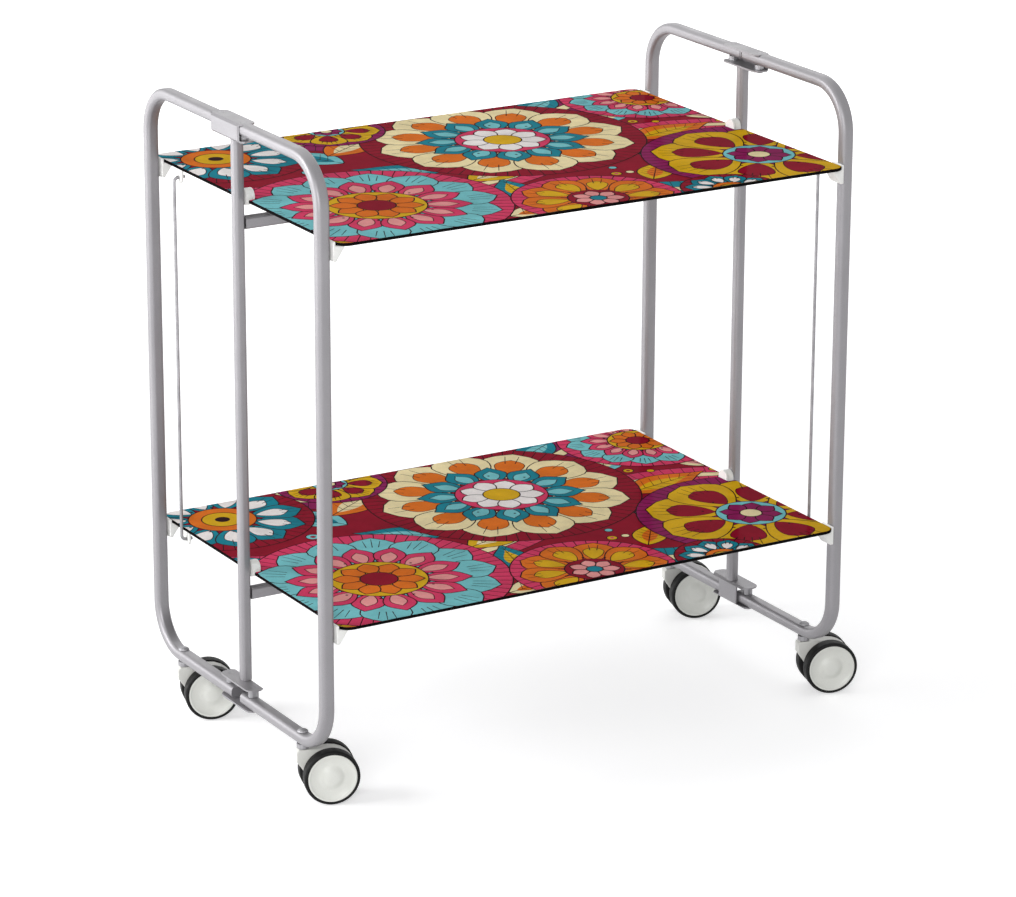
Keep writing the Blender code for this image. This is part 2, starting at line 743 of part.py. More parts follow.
def castor_stem(name, end, side, parent):
    """A riveted stem: domed head on the rail, shank through it, washer under it and a spigot down into the hood."""
    top = RAIL_LOW_Z + TUBE_DEEP / 2 + GAP
    under = RAIL_LOW_Z - TUBE_DEEP / 2 - GAP
    washer = WHEEL_AXLE_Z + HOOD_RADIUS + 2 * HOOD_TOP_GAP
    profile = [(0.0, top + STEM_DOME_TALL)]
    profile += [(STEM_DOME_RADIUS * out, top + STEM_DOME_TALL * up) for out, up in STEM_DOME_SHARES]
    profile += [
        (STEM_DOME_RADIUS, top),
        (STEM_RADIUS, top),
        (STEM_RADIUS, under),
        (STEM_WASHER_RADIUS, under),
        (STEM_WASHER_RADIUS, washer),
        (STEM_RADIUS, washer),
        (STEM_RADIUS, washer - STEM_SOCKET_DEEP),
        (0.0, washer - STEM_SOCKET_DEEP),
    ]
    made = turned(name, profile, STEM_STEPS, along_z(end * HOOP_X, side * STEM_Y, 0.0))
    return place(made, name, ZINC, parent)


def hood_outline():
    """The castor body's side view, about the stem's axis: a boss, a flat top, the wheels' arc and a cut-away foot."""
    centre = Vector((CASTOR_TRAIL, WHEEL_AXLE_Z))
    top = WHEEL_AXLE_Z + HOOD_RADIUS
    points = [Vector((-HOOD_LEAD, top - HOOD_BOSS_TALL)), Vector((-HOOD_LEAD, top - HOOD_BOSS_EASE))]
    points.append(Vector((-HOOD_LEAD + HOOD_BOSS_EASE, top)))
    steps = ROUND_STEPS // 2
    for k in range(steps + 1):
        angle = math.pi / 2 - (math.pi / 2 + HOOD_TAIL_ANGLE) * k / steps
        points.append(centre + HOOD_RADIUS * Vector((math.cos(angle), math.sin(angle))))
    for k in range(steps):
        angle = -2 * HOOD_TAIL_ANGLE - HOOD_HUB_ANGLE * k / (steps - 1)
        points.append(centre + HOOD_HUB_RADIUS * Vector((math.cos(angle), math.sin(angle))))
    points.append(Vector((HOOD_NOSE_X, HOOD_NOSE_Z)))
    points.append(Vector((HOOD_THROAT_X, WHEEL_AXLE_Z)))
    return points


def castor_frame(end, side):
    """World frame of a castor: local X along its trail, Y along its axle, Z up, at the stem on the floor."""
    return along_z(end * HOOP_X, side * STEM_Y, 0.0) @ Matrix.Rotation(-CASTOR_TURN, 4, "Z")


def castor_hood(name, end, side, parent):
    frame = castor_frame(end, side)
    body = prism(name, [hood_outline()], HOOD_WIDE, frame @ along_y(0.0, 0.0, 0.0))
    ease = body.modifiers.new("eased edge", "BEVEL")
    ease.width = PIVOT_EASE
    ease.segments = 1
    ease.limit_method = "ANGLE"
    ease.angle_limit = math.radians(60.0)
    washer = WHEEL_AXLE_Z + HOOD_RADIUS + 2 * HOOD_TOP_GAP
    socket = rod_cutter(
        name + "_socket",
        STEM_RADIUS + RUN * 2,
        washer - STEM_SOCKET_DEEP - GAP,
        washer + OVERRUN,
        frame,
        STEM_STEPS,
    )
    boolean(body, socket, "DIFFERENCE")
    reach = HOOD_WIDE / 2 + AXLE_REACH
    axle = rod_cutter(name + "_axle", AXLE_RADIUS, -reach, reach, axle_frame(frame), STEM_STEPS)
    boolean(body, axle, "UNION")
    return place(smooth(realised(body, name)), name, WHITE_PLASTIC, parent)


def axle_frame(frame):
    """A frame on the castor's axle whose Z runs along the axle towards local +Y."""
    return frame @ Matrix.Translation((CASTOR_TRAIL, 0.0, WHEEL_AXLE_Z)) @ Matrix.Rotation(-math.pi / 2, 4, "X")


def castor_wheel(name, end, side, which, parent):
    """One wheel of a castor; which is -1 for the near side and +1 for the far side along the axle."""
    wide = WHEEL_WIDE
    bore = AXLE_RADIUS + RUN * 2
    outer_face = wide
    dish = outer_face - WHEEL_DISH_DEEP
    blind = AXLE_REACH - WHEEL_GAP + GAP
    profile = [
        (0.0, outer_face),
        (WHEEL_CENTRE_RADIUS, dish),
        (WHEEL_DISH_RADIUS - WHEEL_CHAMFER, dish),
        (WHEEL_DISH_RADIUS, outer_face),
        (WHEEL_RADIUS - WHEEL_CHAMFER, outer_face),
        (WHEEL_RADIUS, outer_face - WHEEL_CHAMFER),
        (WHEEL_RADIUS, WHEEL_CHAMFER / 2),
        (WHEEL_RADIUS - WHEEL_CHAMFER / 2, 0.0),
        (bore, 0.0),
        (bore, blind),
        (0.0, blind),
    ]
    frame = castor_frame(end, side)
    start = HOOD_WIDE / 2 + WHEEL_GAP
    spin = Matrix.Rotation(0.0 if which > 0 else math.pi, 4, "X")
    where = axle_frame(frame) @ spin @ Matrix.Translation((0.0, 0.0, start))
    made = turned(name, profile, WHEEL_SIDES, where, math.pi / 2 + math.pi / WHEEL_SIDES)
    return place(made, name, TYRE_BLACK, parent)


# Assembly


def end_frames():
    root = axis_empty("frame_root", (0.0, 0.0, 0.0))
    for end, where in ((-1, "left"), (1, "right")):
        post(f"{where}_post", end, root)
        hinge_channel(f"{where}_top_hinge_channel", end, TOP_CHANNEL_Z, TOP_CHANNEL_TALL, 0.0, root)
        hinge_channel(
            f"{where}_bottom_hinge_channel", end, LOW_CHANNEL_Z, LOW_CHANNEL_TALL, LOW_WEB_HALF, root
        )
        for side, way in ((-1, "front"), (1, "rear")):
            half_hoop(f"{where}_{way}_half_hoop", end, side, root)
            top_hinge_pin(f"{where}_{way}_top_hinge_pin", end, side, root)
            bottom_hinge_pin(f"{where}_{way}_bottom_hinge_pin", end, side, root)
            castor_stem(f"{where}_{way}_castor_stem", end, side, root)
    for level, top_z in (("upper", UPPER_TRAY_Z), ("lower", LOWER_TRAY_Z)):
        crossbar(f"{level}_crossbar", top_z, root)
        for end, where in ((-1, "left"), (1, "right")):
            pivot_block(f"{level}_{where}_pivot_block", end, top_z, root)


def trays():
    for level, top_z in (("upper", UPPER_TRAY_Z), ("lower", LOWER_TRAY_Z)):
        axis = axis_empty(f"{level}_tray_axis", (0.0, 0.0, top_z + PIVOT_RISE))
        tray(f"{level}_tray", top_z, axis)
        for end, where in ((-1, "left"), (1, "right")):
            tray_hinge(f"{level}_{where}_tray_hinge", end, top_z, axis)
            link_bracket(f"{level}_{where}_link_bracket", end, -end, top_z, axis)
            for side, way in ((-1, "front"), (1, "rear")):
                corner_support(f"{level}_{where}_{way}_corner_support", end, side, top_z, axis)
    pivot_z = UPPER_TRAY_Z - TRAY_THICK - LINK_DROP
    for end, where in ((-1, "left"), (1, "right")):
        axis = axis_empty(f"{where}_rod_axis", (end * ROD_X, -end * ROD_Y, pivot_z))
        link_rod(f"{where}_link_rod", end, -end, axis)


def castors():
    for end, where in ((-1, "left"), (1, "right")):
        for side, way in ((-1, "front"), (1, "rear")):
            swivel = axis_empty(f"{where}_{way}_swivel_axis", (end * HOOP_X, side * STEM_Y, 0.0), -CASTOR_TURN)
            castor_hood(f"{where}_{way}_castor_hood", end, side, swivel)
            hub = castor_frame(end, side) @ Vector((CASTOR_TRAIL, 0.0, WHEEL_AXLE_Z))
            axle = axis_empty(f"{where}_{way}_axle_axis", hub)
            axle.parent = swivel
            axle.matrix_parent_inverse = parent_matrix(swivel).inverted()
            castor_wheel(f"{where}_{way}_castor_near_wheel", end, side, -1, axle)
            castor_wheel(f"{where}_{way}_castor_far_wheel", end, side, 1, axle)


def centre_origin():
    """Moves the whole trolley along X so that the origin is under the middle of its extents, castors included."""
    bpy.context.view_layer.update()
    graph = bpy.context.evaluated_depsgraph_get()
    reach = []
    for piece in PIECES.objects:
        if piece.type == "MESH":
            shape = piece.evaluated_get(graph)
            reach += [(shape.matrix_world @ vertex.co).x for vertex in shape.to_mesh().vertices]
            shape.to_mesh_clear()
    middle = (min(reach) + max(reach)) / 2
    for piece in PIECES.objects:
        if piece.parent is None:
            piece.location.x -= middle


end_frames()
trays()
castors()
centre_origin()
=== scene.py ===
"""Looks of the folding serving trolley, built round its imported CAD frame."""

import json
import math
import random

import bmesh
import bpy
from mathutils import Matrix, Vector

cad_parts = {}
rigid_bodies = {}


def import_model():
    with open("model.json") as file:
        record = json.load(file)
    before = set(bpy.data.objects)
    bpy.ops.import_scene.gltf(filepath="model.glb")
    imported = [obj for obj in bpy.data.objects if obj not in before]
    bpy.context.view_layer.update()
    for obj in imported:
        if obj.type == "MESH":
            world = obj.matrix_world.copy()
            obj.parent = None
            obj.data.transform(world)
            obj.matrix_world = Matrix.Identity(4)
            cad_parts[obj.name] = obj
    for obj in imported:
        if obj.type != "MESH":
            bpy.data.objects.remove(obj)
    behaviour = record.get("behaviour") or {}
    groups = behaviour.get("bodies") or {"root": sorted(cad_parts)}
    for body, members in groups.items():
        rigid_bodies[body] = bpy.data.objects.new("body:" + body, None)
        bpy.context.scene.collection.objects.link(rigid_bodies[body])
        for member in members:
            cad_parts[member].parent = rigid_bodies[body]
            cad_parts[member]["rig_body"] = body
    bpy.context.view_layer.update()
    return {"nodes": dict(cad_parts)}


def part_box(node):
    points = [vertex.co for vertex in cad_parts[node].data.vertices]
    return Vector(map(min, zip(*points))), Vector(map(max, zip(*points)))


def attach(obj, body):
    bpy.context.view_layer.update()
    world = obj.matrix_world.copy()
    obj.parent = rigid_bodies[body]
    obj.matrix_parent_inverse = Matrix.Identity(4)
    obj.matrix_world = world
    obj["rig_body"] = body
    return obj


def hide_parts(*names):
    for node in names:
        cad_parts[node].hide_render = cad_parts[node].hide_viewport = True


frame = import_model()
NODES = frame["nodes"]
SIDES = (("front", -1), ("rear", 1))
ENDS = ("left", "right")

# Sizes in metres, mostly the CAD's own. Here the tubes are rounder and the notch is shallower.
TUBE_DEEP = 0.013  # in the plane of the hoop
TUBE_EDGE = 0.005  # corner radius
TUBE_WALL = 0.0012
BEND = 0.050  # radius of the hoops' bends, at the tube's centre line
RAIL_END = 0.010  # centre to the cut end of each bottom rail
CHANNEL_HALF = 0.0355
GAP = 0.0003  # between touching pieces
FLUSH = 0.0021  # how far the top rail is pressed down under its hinge channel
TOP_MOUTH_DEEP = 0.012  # hollow seen in the end of a top rail
LOW_MOUTH_DEEP = 0.0012  # the same in a bottom rail
PLUG_GAP = 0.0005  # round each plug, and from its face to the middle
PLUG_REACH = 0.004  # how far the plug goes into its rail
PLUG_EDGE = 0.001
PLUG_DROP = 0.0004  # plug's top under the rail's pressed top
POST_ROUND = 0.0048  # corner radius of the posts

TRAY_EASE = 0.0008
CORNER = 0.013
NOTCH_HALF = 0.0115
NOTCH_DEEP = 0.010
NOTCH_ROUND = 0.003
END_STRIP = 0.017  # at each end of the print, where it is cut in regions round the notch
PRINT_INSET = 0.0009  # tray's edge to the print's
LEVEL_TALL = 0.000004  # between two levels of ink
LINE = 0.0015  # how far the print's outlines stand out

PIN_REACH = 0.0045  # out of the hinge's block
PIN_RADIUS = 0.003
PIN_CHAMFER = 0.0003
HINGE_BLOCK = 0.0028  # thickness of the block in the notch
HINGE_FOOT = 0.004  # height of the foot under the panel
FOOT_INSET = 0.0006  # block's side to the foot's
FOOT_ROUND = 0.0008
FOOT_GAP = 0.00005  # between block and foot
# Bevels on the edges of small moulded pieces, of the bent channels and of the castor hoods
MOULD_EASE, SHEET_EASE, HOOD_EASE = 0.0004, 0.0003, 0.0005

CASTOR_TURN = math.radians(17.0)  # axle's angle from +Y towards +X
CASTOR_TRAIL = 0.028
WHEEL_RADIUS = 0.0308
WHEEL_SIDES = 24  # of the CAD's wheel
WHEEL_WIDE = 0.0145
WHEEL_GAP = 0.0006
WHEEL_CLEAR = 0.00009  # keeps the round tread inside the CAD wheel's flats
HOOD_WIDE = 0.0130
BORE_RADIUS = 0.004
TREAD_ROUND = 0.0026
TREAD_INNER = 0.7  # the inner edge's radius as a share of the outer edge's
CAP_RADIUS = 0.0268
CAP_BED = 0.0048  # wheel's outer face to the bed behind its cap
# The cap's raised centre in its bowl, which is deeper here than the CAD's: radius, and depth
# under the wheel's outer face
CAP_PROFILE = (
    (CAP_RADIUS - 0.0001, 0.0011),
    (CAP_RADIUS - 0.0002, 0.0002),
    (CAP_RADIUS - 0.0010, 0.0),
    (CAP_RADIUS - 0.0020, 0.0002),
    (CAP_RADIUS - 0.0027, 0.0010),
    (CAP_RADIUS - 0.0036, 0.0017),
    (CAP_RADIUS * 0.72, 0.0031),
    (CAP_RADIUS * 0.58, 0.0042),
    (CAP_RADIUS * 0.52, 0.0043),
    (CAP_RADIUS * 0.47, 0.0038),
    (CAP_RADIUS * 0.38, 0.0019),
    (CAP_RADIUS * 0.30, 0.0007),
    (CAP_RADIUS * 0.18, 0.0001),
    (0.0, 0.0),
)


# Materials


def srgb(r, g, b):
    """An sRGB colour, 0 to 255, as linear RGBA."""
    out = []
    for c in (r, g, b):
        c = c / 255
        out.append(c / 12.92 if c <= 0.04045 else ((c + 0.055) / 1.055) ** 2.4)
    return (*out, 1.0)


def shade(colour, k):
    return (colour[0] * k, colour[1] * k, colour[2] * k, 1.0)


PLAIN = (1.0, 1.0, 1.0, 1.0)


class Mat:
    """A Principled material with helpers that wire procedural detail into it."""

    def __init__(
        self, name, roughness, metallic=0.0, coat=0.0, coat_rough=0.05, ior=1.5, gloss=0.5
    ):
        self.mat = bpy.data.materials.new(name)
        self.mat.use_nodes = True
        self.nt = self.mat.node_tree
        self.shader = self.nt.nodes["Principled BSDF"]
        self.shader.inputs["Roughness"].default_value = roughness
        self.shader.inputs["Metallic"].default_value = metallic
        self.shader.inputs["Coat Weight"].default_value = coat
        self.shader.inputs["Coat Roughness"].default_value = coat_rough
        self.shader.inputs["IOR"].default_value = ior
        self.shader.inputs["Specular IOR Level"].default_value = gloss
        self.coord = self.nt.nodes.new("ShaderNodeTexCoord").outputs["Object"]

    def noise(self, scale, detail=3.0, rough=0.55, stretch=None):
        node = self.nt.nodes.new("ShaderNodeTexNoise")
        node.inputs["Scale"].default_value = scale
        node.inputs["Detail"].default_value = detail
        node.inputs["Roughness"].default_value = rough
        source = self.coord
        if stretch:
            mapping = self.nt.nodes.new("ShaderNodeMapping")
            mapping.inputs["Scale"].default_value = stretch
            self.nt.links.new(source, mapping.inputs["Vector"])
            source = mapping.outputs["Vector"]
        self.nt.links.new(source, node.inputs["Vector"])
        return node.outputs["Fac"]

    def ramp(self, fac, low, high, edge):
        """A blend from low to high, between the values edge and 1 - edge."""
        node = self.nt.nodes.new("ShaderNodeValToRGB")
        for stop, spot, colour in zip(node.color_ramp.elements, (edge, 1 - edge), (low, high)):
            stop.position = spot
            stop.color = colour
        self.nt.links.new(fac, node.inputs["Fac"])
        return node.outputs["Color"]

    def drift(self, fac, colour, low, high, edge=0.3):
        """The colour, between low and high times its strength."""
        return self.ramp(fac, shade(colour, low), shade(colour, high), edge)

    def multiply(self, a, b):
        node = self.nt.nodes.new("ShaderNodeMix")
        node.data_type = "RGBA"
        node.blend_type = "MULTIPLY"
        node.inputs[0].default_value = 1.0
        self.nt.links.new(a, node.inputs[6])
        self.nt.links.new(b, node.inputs[7])
        return node.outputs[2]

    def span(self, fac, low, high):
        """A number from low to high, while the noise goes from 0.3 to 0.7."""
        node = self.nt.nodes.new("ShaderNodeMapRange")
        node.inputs["From Min"].default_value = 0.3
        node.inputs["From Max"].default_value = 0.7
        node.inputs["To Min"].default_value = low
        node.inputs["To Max"].default_value = high
        self.nt.links.new(fac, node.inputs["Value"])
        return node.outputs["Result"]

    def to(self, value, name):
        self.nt.links.new(value, self.shader.inputs[name])

    def bump(self, height, strength):
        node = self.nt.nodes.new("ShaderNodeBump")
        node.inputs["Strength"].default_value = strength
        node.inputs["Distance"].default_value = 0.0001
        self.nt.links.new(height, node.inputs["Height"])
        self.nt.links.new(node.outputs["Normal"], self.shader.inputs["Normal"])


def lacquer(name, colour):
    """Satin metallic lacquer: a fine flake, a slow tone drift and a faint orange peel."""
    m = Mat(name, roughness=0.42, metallic=0.5, coat=0.08, coat_rough=0.25)
    tone = m.drift(m.noise(9.0), colour, 0.94, 1.05)
    flake = m.ramp(m.noise(2600.0, 1.0), (0.90, 0.90, 0.90, 1), (1.06, 1.06, 1.07, 1), 0.35)
    m.to(m.multiply(tone, flake), "Base Color")
    m.to(m.span(m.noise(38.0, 4.0), 0.38, 0.50), "Roughness")
    m.bump(m.noise(700.0, 2.0), 0.10)
    return m.mat


def steel(name, colour, roughness):
    """Zinc-plated steel, drawn along its length, with a few dull patches."""
    m = Mat(name, roughness=roughness, metallic=0.9)
    m.to(m.drift(m.noise(60.0, 4.0), colour, 0.78, 1.1, 0.35), "Base Color")
    m.to(m.span(m.noise(160.0), roughness - 0.06, roughness + 0.14), "Roughness")
    m.bump(m.noise(900.0, 2.0, stretch=(1, 1, 0.05)), 0.12)
    return m.mat


def plastic(name, colour, roughness, subsurface=0.0):
    """Moulded plastic: a slow tone drift, a fine grain and a faint texture of the mould."""
    m = Mat(name, roughness=roughness, ior=1.48)
    tone = m.drift(m.noise(22.0, 4.0), colour, 0.95, 1.03)
    grain = m.drift(m.noise(1500.0, 2.0), PLAIN, 0.96, 1.02, 0.35)
    m.to(m.multiply(tone, grain), "Base Color")
    m.to(m.span(m.noise(90.0), roughness - 0.05, roughness + 0.09), "Roughness")
    m.bump(m.noise(1300.0, 2.0), 0.10)
    if subsurface:
        m.shader.inputs["Subsurface Weight"].default_value = subsurface
        m.shader.inputs["Subsurface Radius"].default_value = (0.004, 0.004, 0.004)
    return m.mat


def rubber(name, colour):
    """Dull rubber, a little uneven from use."""
    m = Mat(name, roughness=0.6, gloss=0.2)
    m.to(m.drift(m.noise(120.0, 4.0), colour, 0.7, 1.4), "Base Color")
    m.to(m.span(m.noise(200.0), 0.5, 0.7), "Roughness")
    m.bump(m.noise(1800.0, 2.0), 0.2)
    return m.mat


def laminate(name, colour):
    """Printed laminate: ink that varies a little, under a thin clear coat."""
    m = Mat(name, roughness=0.42, coat=0.03, coat_rough=0.10, gloss=0.0)
    wash = m.drift(m.noise(34.0, 5.0, 0.6), colour, 0.86, 1.12)
    fibre = m.drift(m.noise(620.0), PLAIN, 0.94, 1.04, 0.35)
    m.to(m.multiply(wash, fibre), "Base Color")
    m.to(m.span(m.noise(75.0), 0.36, 0.48), "Roughness")
    m.bump(m.noise(430.0, 2.0), 0.06)
    return m.mat


LACQUER = lacquer("frame_lacquer", srgb(148, 146, 149))
ZINC = steel("zinc_steel_finish", srgb(158, 157, 160), 0.42)
DULL_ZINC = steel("dull_zinc_steel", srgb(164, 163, 166), 0.60)
WHITE = plastic("moulded_white", srgb(243, 243, 240), 0.40, 0.25)
HOOD_WHITE = plastic("castor_body_white", srgb(216, 216, 211), 0.38)
CAP_CREAM = plastic("castor_cap_cream", srgb(224, 225, 219), 0.34)
TYRE = rubber("castor_tyre_black", srgb(13, 13, 13))
EDGE = laminate("tray_edge_dark", srgb(12, 10, 11))
UNDER = plastic("tray_underside", srgb(58, 52, 54), 0.5)
INKS = {
    "crimson": (142, 14, 40),
    "plum": (138, 30, 88),
    "pink": (212, 60, 100),
    "blush": (230, 152, 150),
    "teal": (24, 128, 146),
    "aqua": (118, 192, 198),
    "mustard": (216, 170, 28),
    "orange": (220, 112, 32),
    "cream": (236, 220, 172),
    "white": (238, 232, 230),
    "line": (44, 16, 22),
}
INK_NAMES = list(INKS)
INK_MATS = [laminate(f"ink_{name}", srgb(*colour)) for name, colour in INKS.items()]


# Mesh helpers


def link(name, mesh, mats):
    obj = bpy.data.objects.new(name, mesh)
    bpy.context.scene.collection.objects.link(obj)
    for m in mats:
        mesh.materials.append(m)
    return obj


def close(bm, name):
    """The finished mesh of a bmesh, its faces turned outwards."""
    bmesh.ops.recalc_face_normals(bm, faces=bm.faces)
    mesh = bpy.data.meshes.new(name)
    bm.to_mesh(mesh)
    bm.free()
    return mesh


def smooth(obj, degrees):
    obj.data.shade_smooth()
    obj.data.set_sharp_from_angle(angle=math.radians(degrees))
    return obj


def ease(obj, width, segments=2, degrees=40.0):
    """Round the edges that are sharper than an angle."""
    mod = obj.modifiers.new("ease", "BEVEL")
    mod.width = width
    mod.segments = segments
    mod.limit_method = "ANGLE"
    mod.angle_limit = math.radians(degrees)


def rounded(points, radii, steps=8):
    """A closed outline with each corner rounded by its own radius."""
    out = []
    n = len(points)
    for i, (corner, radius) in enumerate(zip(points, radii)):
        here = Vector(corner)
        if radius == 0:
            out.append(here)
            continue
        back = (Vector(points[i - 1]) - here).normalized()
        ahead = (Vector(points[(i + 1) % n]) - here).normalized()
        half = back.angle(ahead) / 2
        reach = radius / math.tan(half)
        centre = here + (back + ahead).normalized() * (radius / math.sin(half))
        start = here + back * reach - centre
        swing = start.angle_signed(here + ahead * reach - centre)
        for k in range(steps + 1):
            out.append(centre + Matrix.Rotation(-swing * k / steps, 2) @ start)
    return out


def rounded_box(half_x, half_y, radius, steps):
    corners = [(half_x, half_y), (-half_x, half_y), (-half_x, -half_y), (half_x, -half_y)]
    return rounded(corners, [radius] * 4, steps)


def lathe(name, profile, mat, where, steps):
    """A turned piece about local Z, from (radius, height) points."""
    bm = bmesh.new()
    rings = []
    for r, z in profile:
        if r == 0:
            rings.append([bm.verts.new((0, 0, z))])
            continue
        turns = [math.tau * k / steps for k in range(steps)]
        rings.append([bm.verts.new((r * math.cos(a), r * math.sin(a), z)) for a in turns])
    for a, b in zip(rings, rings[1:]):
        for k in range(steps):
            j = (k + 1) % steps
            if len(a) == 1:
                bm.faces.new((a[0], b[k], b[j]))
            elif len(b) == 1:
                bm.faces.new((a[k], b[0], a[j]))
            else:
                bm.faces.new((a[k], b[k], b[j], a[j]))
    mesh = close(bm, name)
    obj = link(name, mesh, [mat])
    mesh.transform(where)
    return smooth(obj, 40.0)


def prism(name, outline, depth, where, mats, bevel=0.0, segments=3, degrees=40.0):
    """A flat outline extruded symmetrically about its plane, with eased edges."""
    bm = bmesh.new()
    low = [bm.verts.new((p[0], p[1], -depth / 2)) for p in outline]
    high = [bm.verts.new((p[0], p[1], depth / 2)) for p in outline]
    n = len(outline)
    bm.faces.new(low)
    bm.faces.new(high)
    for k in range(n):
        bm.faces.new((low[k], low[(k + 1) % n], high[(k + 1) % n], high[k]))
    mesh = close(bm, name)
    obj = link(name, mesh, mats)
    mesh.transform(where)
    if bevel:
        ease(obj, bevel, segments, degrees)
    return smooth(obj, 35.0)


def join(obj, node):
    """The piece rides on a CAD node's body."""
    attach(obj, NODES[node]["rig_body"])


def take(obj, node):
    """The piece stands for a CAD node and rides on its body."""
    join(obj, node)
    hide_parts(node)


# Frame tubes


def half_hoop(end_name, side_name, side):
    node = f"{end_name}_{side_name}_half_hoop"
    lo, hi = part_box(node)
    mid_x, half_x = (lo.x + hi.x) / 2, (hi.x - lo.x) / 2
    y_out = max(abs(lo.y), abs(hi.y)) - TUBE_DEEP / 2
    y_in = min(abs(lo.y), abs(hi.y))
    z_top, z_low = hi.z - TUBE_DEEP / 2, lo.z + TUBE_DEEP / 2
    # The doubled point is where the pressed part under the channel ends in a step
    step = CHANNEL_HALF + GAP
    path = [(y_in, z_top), (step, z_top), (step, z_top)]
    steps = 22
    for cz, start in ((z_top - BEND, math.pi / 2), (z_low + BEND, 0.0)):
        for k in range(steps + 1):
            a = start - math.pi / 2 * k / steps
            path.append((y_out - BEND + BEND * math.cos(a), cz + BEND * math.sin(a)))
    path.append((RAIL_END, z_low))

    def section(grow_by, top=1.0):
        """The tube's section, grown by a distance and cut off at a height."""
        hx, hd = half_x + grow_by, TUBE_DEEP / 2 + grow_by
        made = rounded_box(hx, hd, TUBE_EDGE + grow_by, 7)
        return [Vector((p.x, min(p.y, top))) for p in made]

    bm = bmesh.new()
    pressed = TUBE_DEEP / 2 - FLUSH
    rings = []
    for i, (y, z) in enumerate(path):
        before = Vector(path[max(i - 1, 0)])
        after = Vector(path[min(i + 1, len(path) - 1)])
        along = (after - before).normalized()
        across = Vector((-along.y, along.x))
        ring = []
        for p in section(0.0, pressed if i < 2 else 1.0):
            spot = (mid_x + p[0], side * (y + across.x * p[1]), z + across.y * p[1])
            ring.append(bm.verts.new(spot))
        rings.append(ring)
    for r, s in zip(rings, rings[1:]):
        for k in range(len(r)):
            j = (k + 1) % len(r)
            bm.faces.new((r[k], r[j], s[j], s[k]))

    def mouth(ring, spot, inward, deep_by, flip, top):
        """The wall and the shallow hollow in an open end."""
        along = (Vector(inward) - Vector(spot)).normalized()
        way = along * deep_by
        across = Vector((-along.y, along.x)) * flip
        rim, floor_ring = [], []
        inner = section(-TUBE_WALL, top)
        for p in inner:
            y, z = spot[0] + across.x * p[1], spot[1] + across.y * p[1]
            rim.append(bm.verts.new((mid_x + p[0], side * y, z)))
            floor_ring.append(bm.verts.new((mid_x + p[0], side * (y + way.x), z + way.y)))
        n = len(inner)
        for k in range(n):
            j = (k + 1) % n
            bm.faces.new((ring[k], ring[j], rim[j], rim[k]))
            bm.faces.new((rim[k], rim[j], floor_ring[j], floor_ring[k]))
        bm.faces.new(floor_ring)

    mouth(rings[0], path[0], path[1], TOP_MOUTH_DEEP, 1, pressed - GAP)
    mouth(rings[-1], path[-1], path[-2], LOW_MOUTH_DEEP, -1, 1.0)
    obj = link(node + "_tube", close(bm, node + "_tube"), [LACQUER])
    take(smooth(obj, 50.0), node)

    # A plug in the top rail's open end, which nearly meets the other half's
    hx, top, low = half_x - PLUG_GAP, pressed - PLUG_DROP, -TUBE_DEEP / 2 + PLUG_GAP
    corners = [(hx, top), (-hx, top), (-hx, low), (hx, low)]
    outline = rounded(corners, [PLUG_EDGE, PLUG_EDGE, TUBE_EDGE, TUBE_EDGE], 6)
    reach = y_in + PLUG_REACH - PLUG_GAP
    spot = (mid_x, side * (PLUG_GAP + reach / 2), z_top)
    where = Matrix.Translation(spot) @ Matrix.Rotation(math.pi / 2, 4, "X")
    plug = prism(node + "_plug", outline, reach, where, [LACQUER], MOULD_EASE, 2, 60.0)
    join(plug, node)


for end_name in ENDS:
    for side_name, side in SIDES:
        half_hoop(end_name, side_name, side)


# Posts, tray hinges and the pieces that keep their CAD shape under a finer finish


def post(node):
    """The post's rounder tube, as long as its CAD shape."""
    lo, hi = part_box(node)
    mid, half = (lo + hi) / 2, (hi.x - lo.x) / 2
    outline = rounded_box(half, half, POST_ROUND, 9)
    piece = prism(node + "_tube", outline, hi.z - lo.z, Matrix.Translation(mid), [LACQUER])
    take(piece, node)


def tray_hinge(node, end):
    """A slim block that stands in the tray's notch, with its pin and the foot under the panel."""
    lo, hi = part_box(node)
    r = (hi.y - lo.y) / 2
    tip, tail = (lo.x, hi.x) if end < 0 else (hi.x, lo.x)
    face = tip - end * PIN_REACH
    axis_z = hi.z - r
    # Outlines are drawn in Y and Z and extruded along X
    turned = Matrix(((0, 0, 1, 0), (1, 0, 0, 0), (0, 1, 0, 0), (0, 0, 0, 1)))
    turns = [math.pi * k / 24 for k in range(25)]
    dome = [(r * math.cos(a), r * math.sin(a)) for a in turns]
    outline = dome + [(-r, lo.z - axis_z), (r, lo.z - axis_z)]
    where = Matrix.Translation((face - end * HINGE_BLOCK / 2, 0, axis_z)) @ turned
    block = prism(node + "_block", outline, HINGE_BLOCK, where, [WHITE], MOULD_EASE)
    take(block, node)

    start = face - end * (HINGE_BLOCK + FOOT_GAP)
    rise = HINGE_FOOT / 2
    outline = rounded_box(r - FOOT_INSET, rise, FOOT_ROUND, 3)
    where = Matrix.Translation(((start + tail) / 2, 0, lo.z + rise)) @ turned
    foot = prism(node + "_foot", outline, abs(tail - start), where, [WHITE], MOULD_EASE)
    join(foot, node)

    where = Matrix.Translation((face, 0, axis_z)) @ Matrix.Rotation(end * math.pi / 2, 4, "Y")
    profile = [
        (0, 0.0),
        (PIN_RADIUS, 0.0),
        (PIN_RADIUS, PIN_REACH - PIN_CHAMFER),
        (PIN_RADIUS - PIN_CHAMFER, PIN_REACH),
        (0, PIN_REACH),
    ]
    join(lathe(node + "_pin", profile, WHITE, where, 32), node)


def refinish(node, mat, bevel=0.0):
    obj = NODES[node]
    obj.data.materials.clear()
    obj.data.materials.append(mat)
    if bevel:
        ease(obj, bevel)


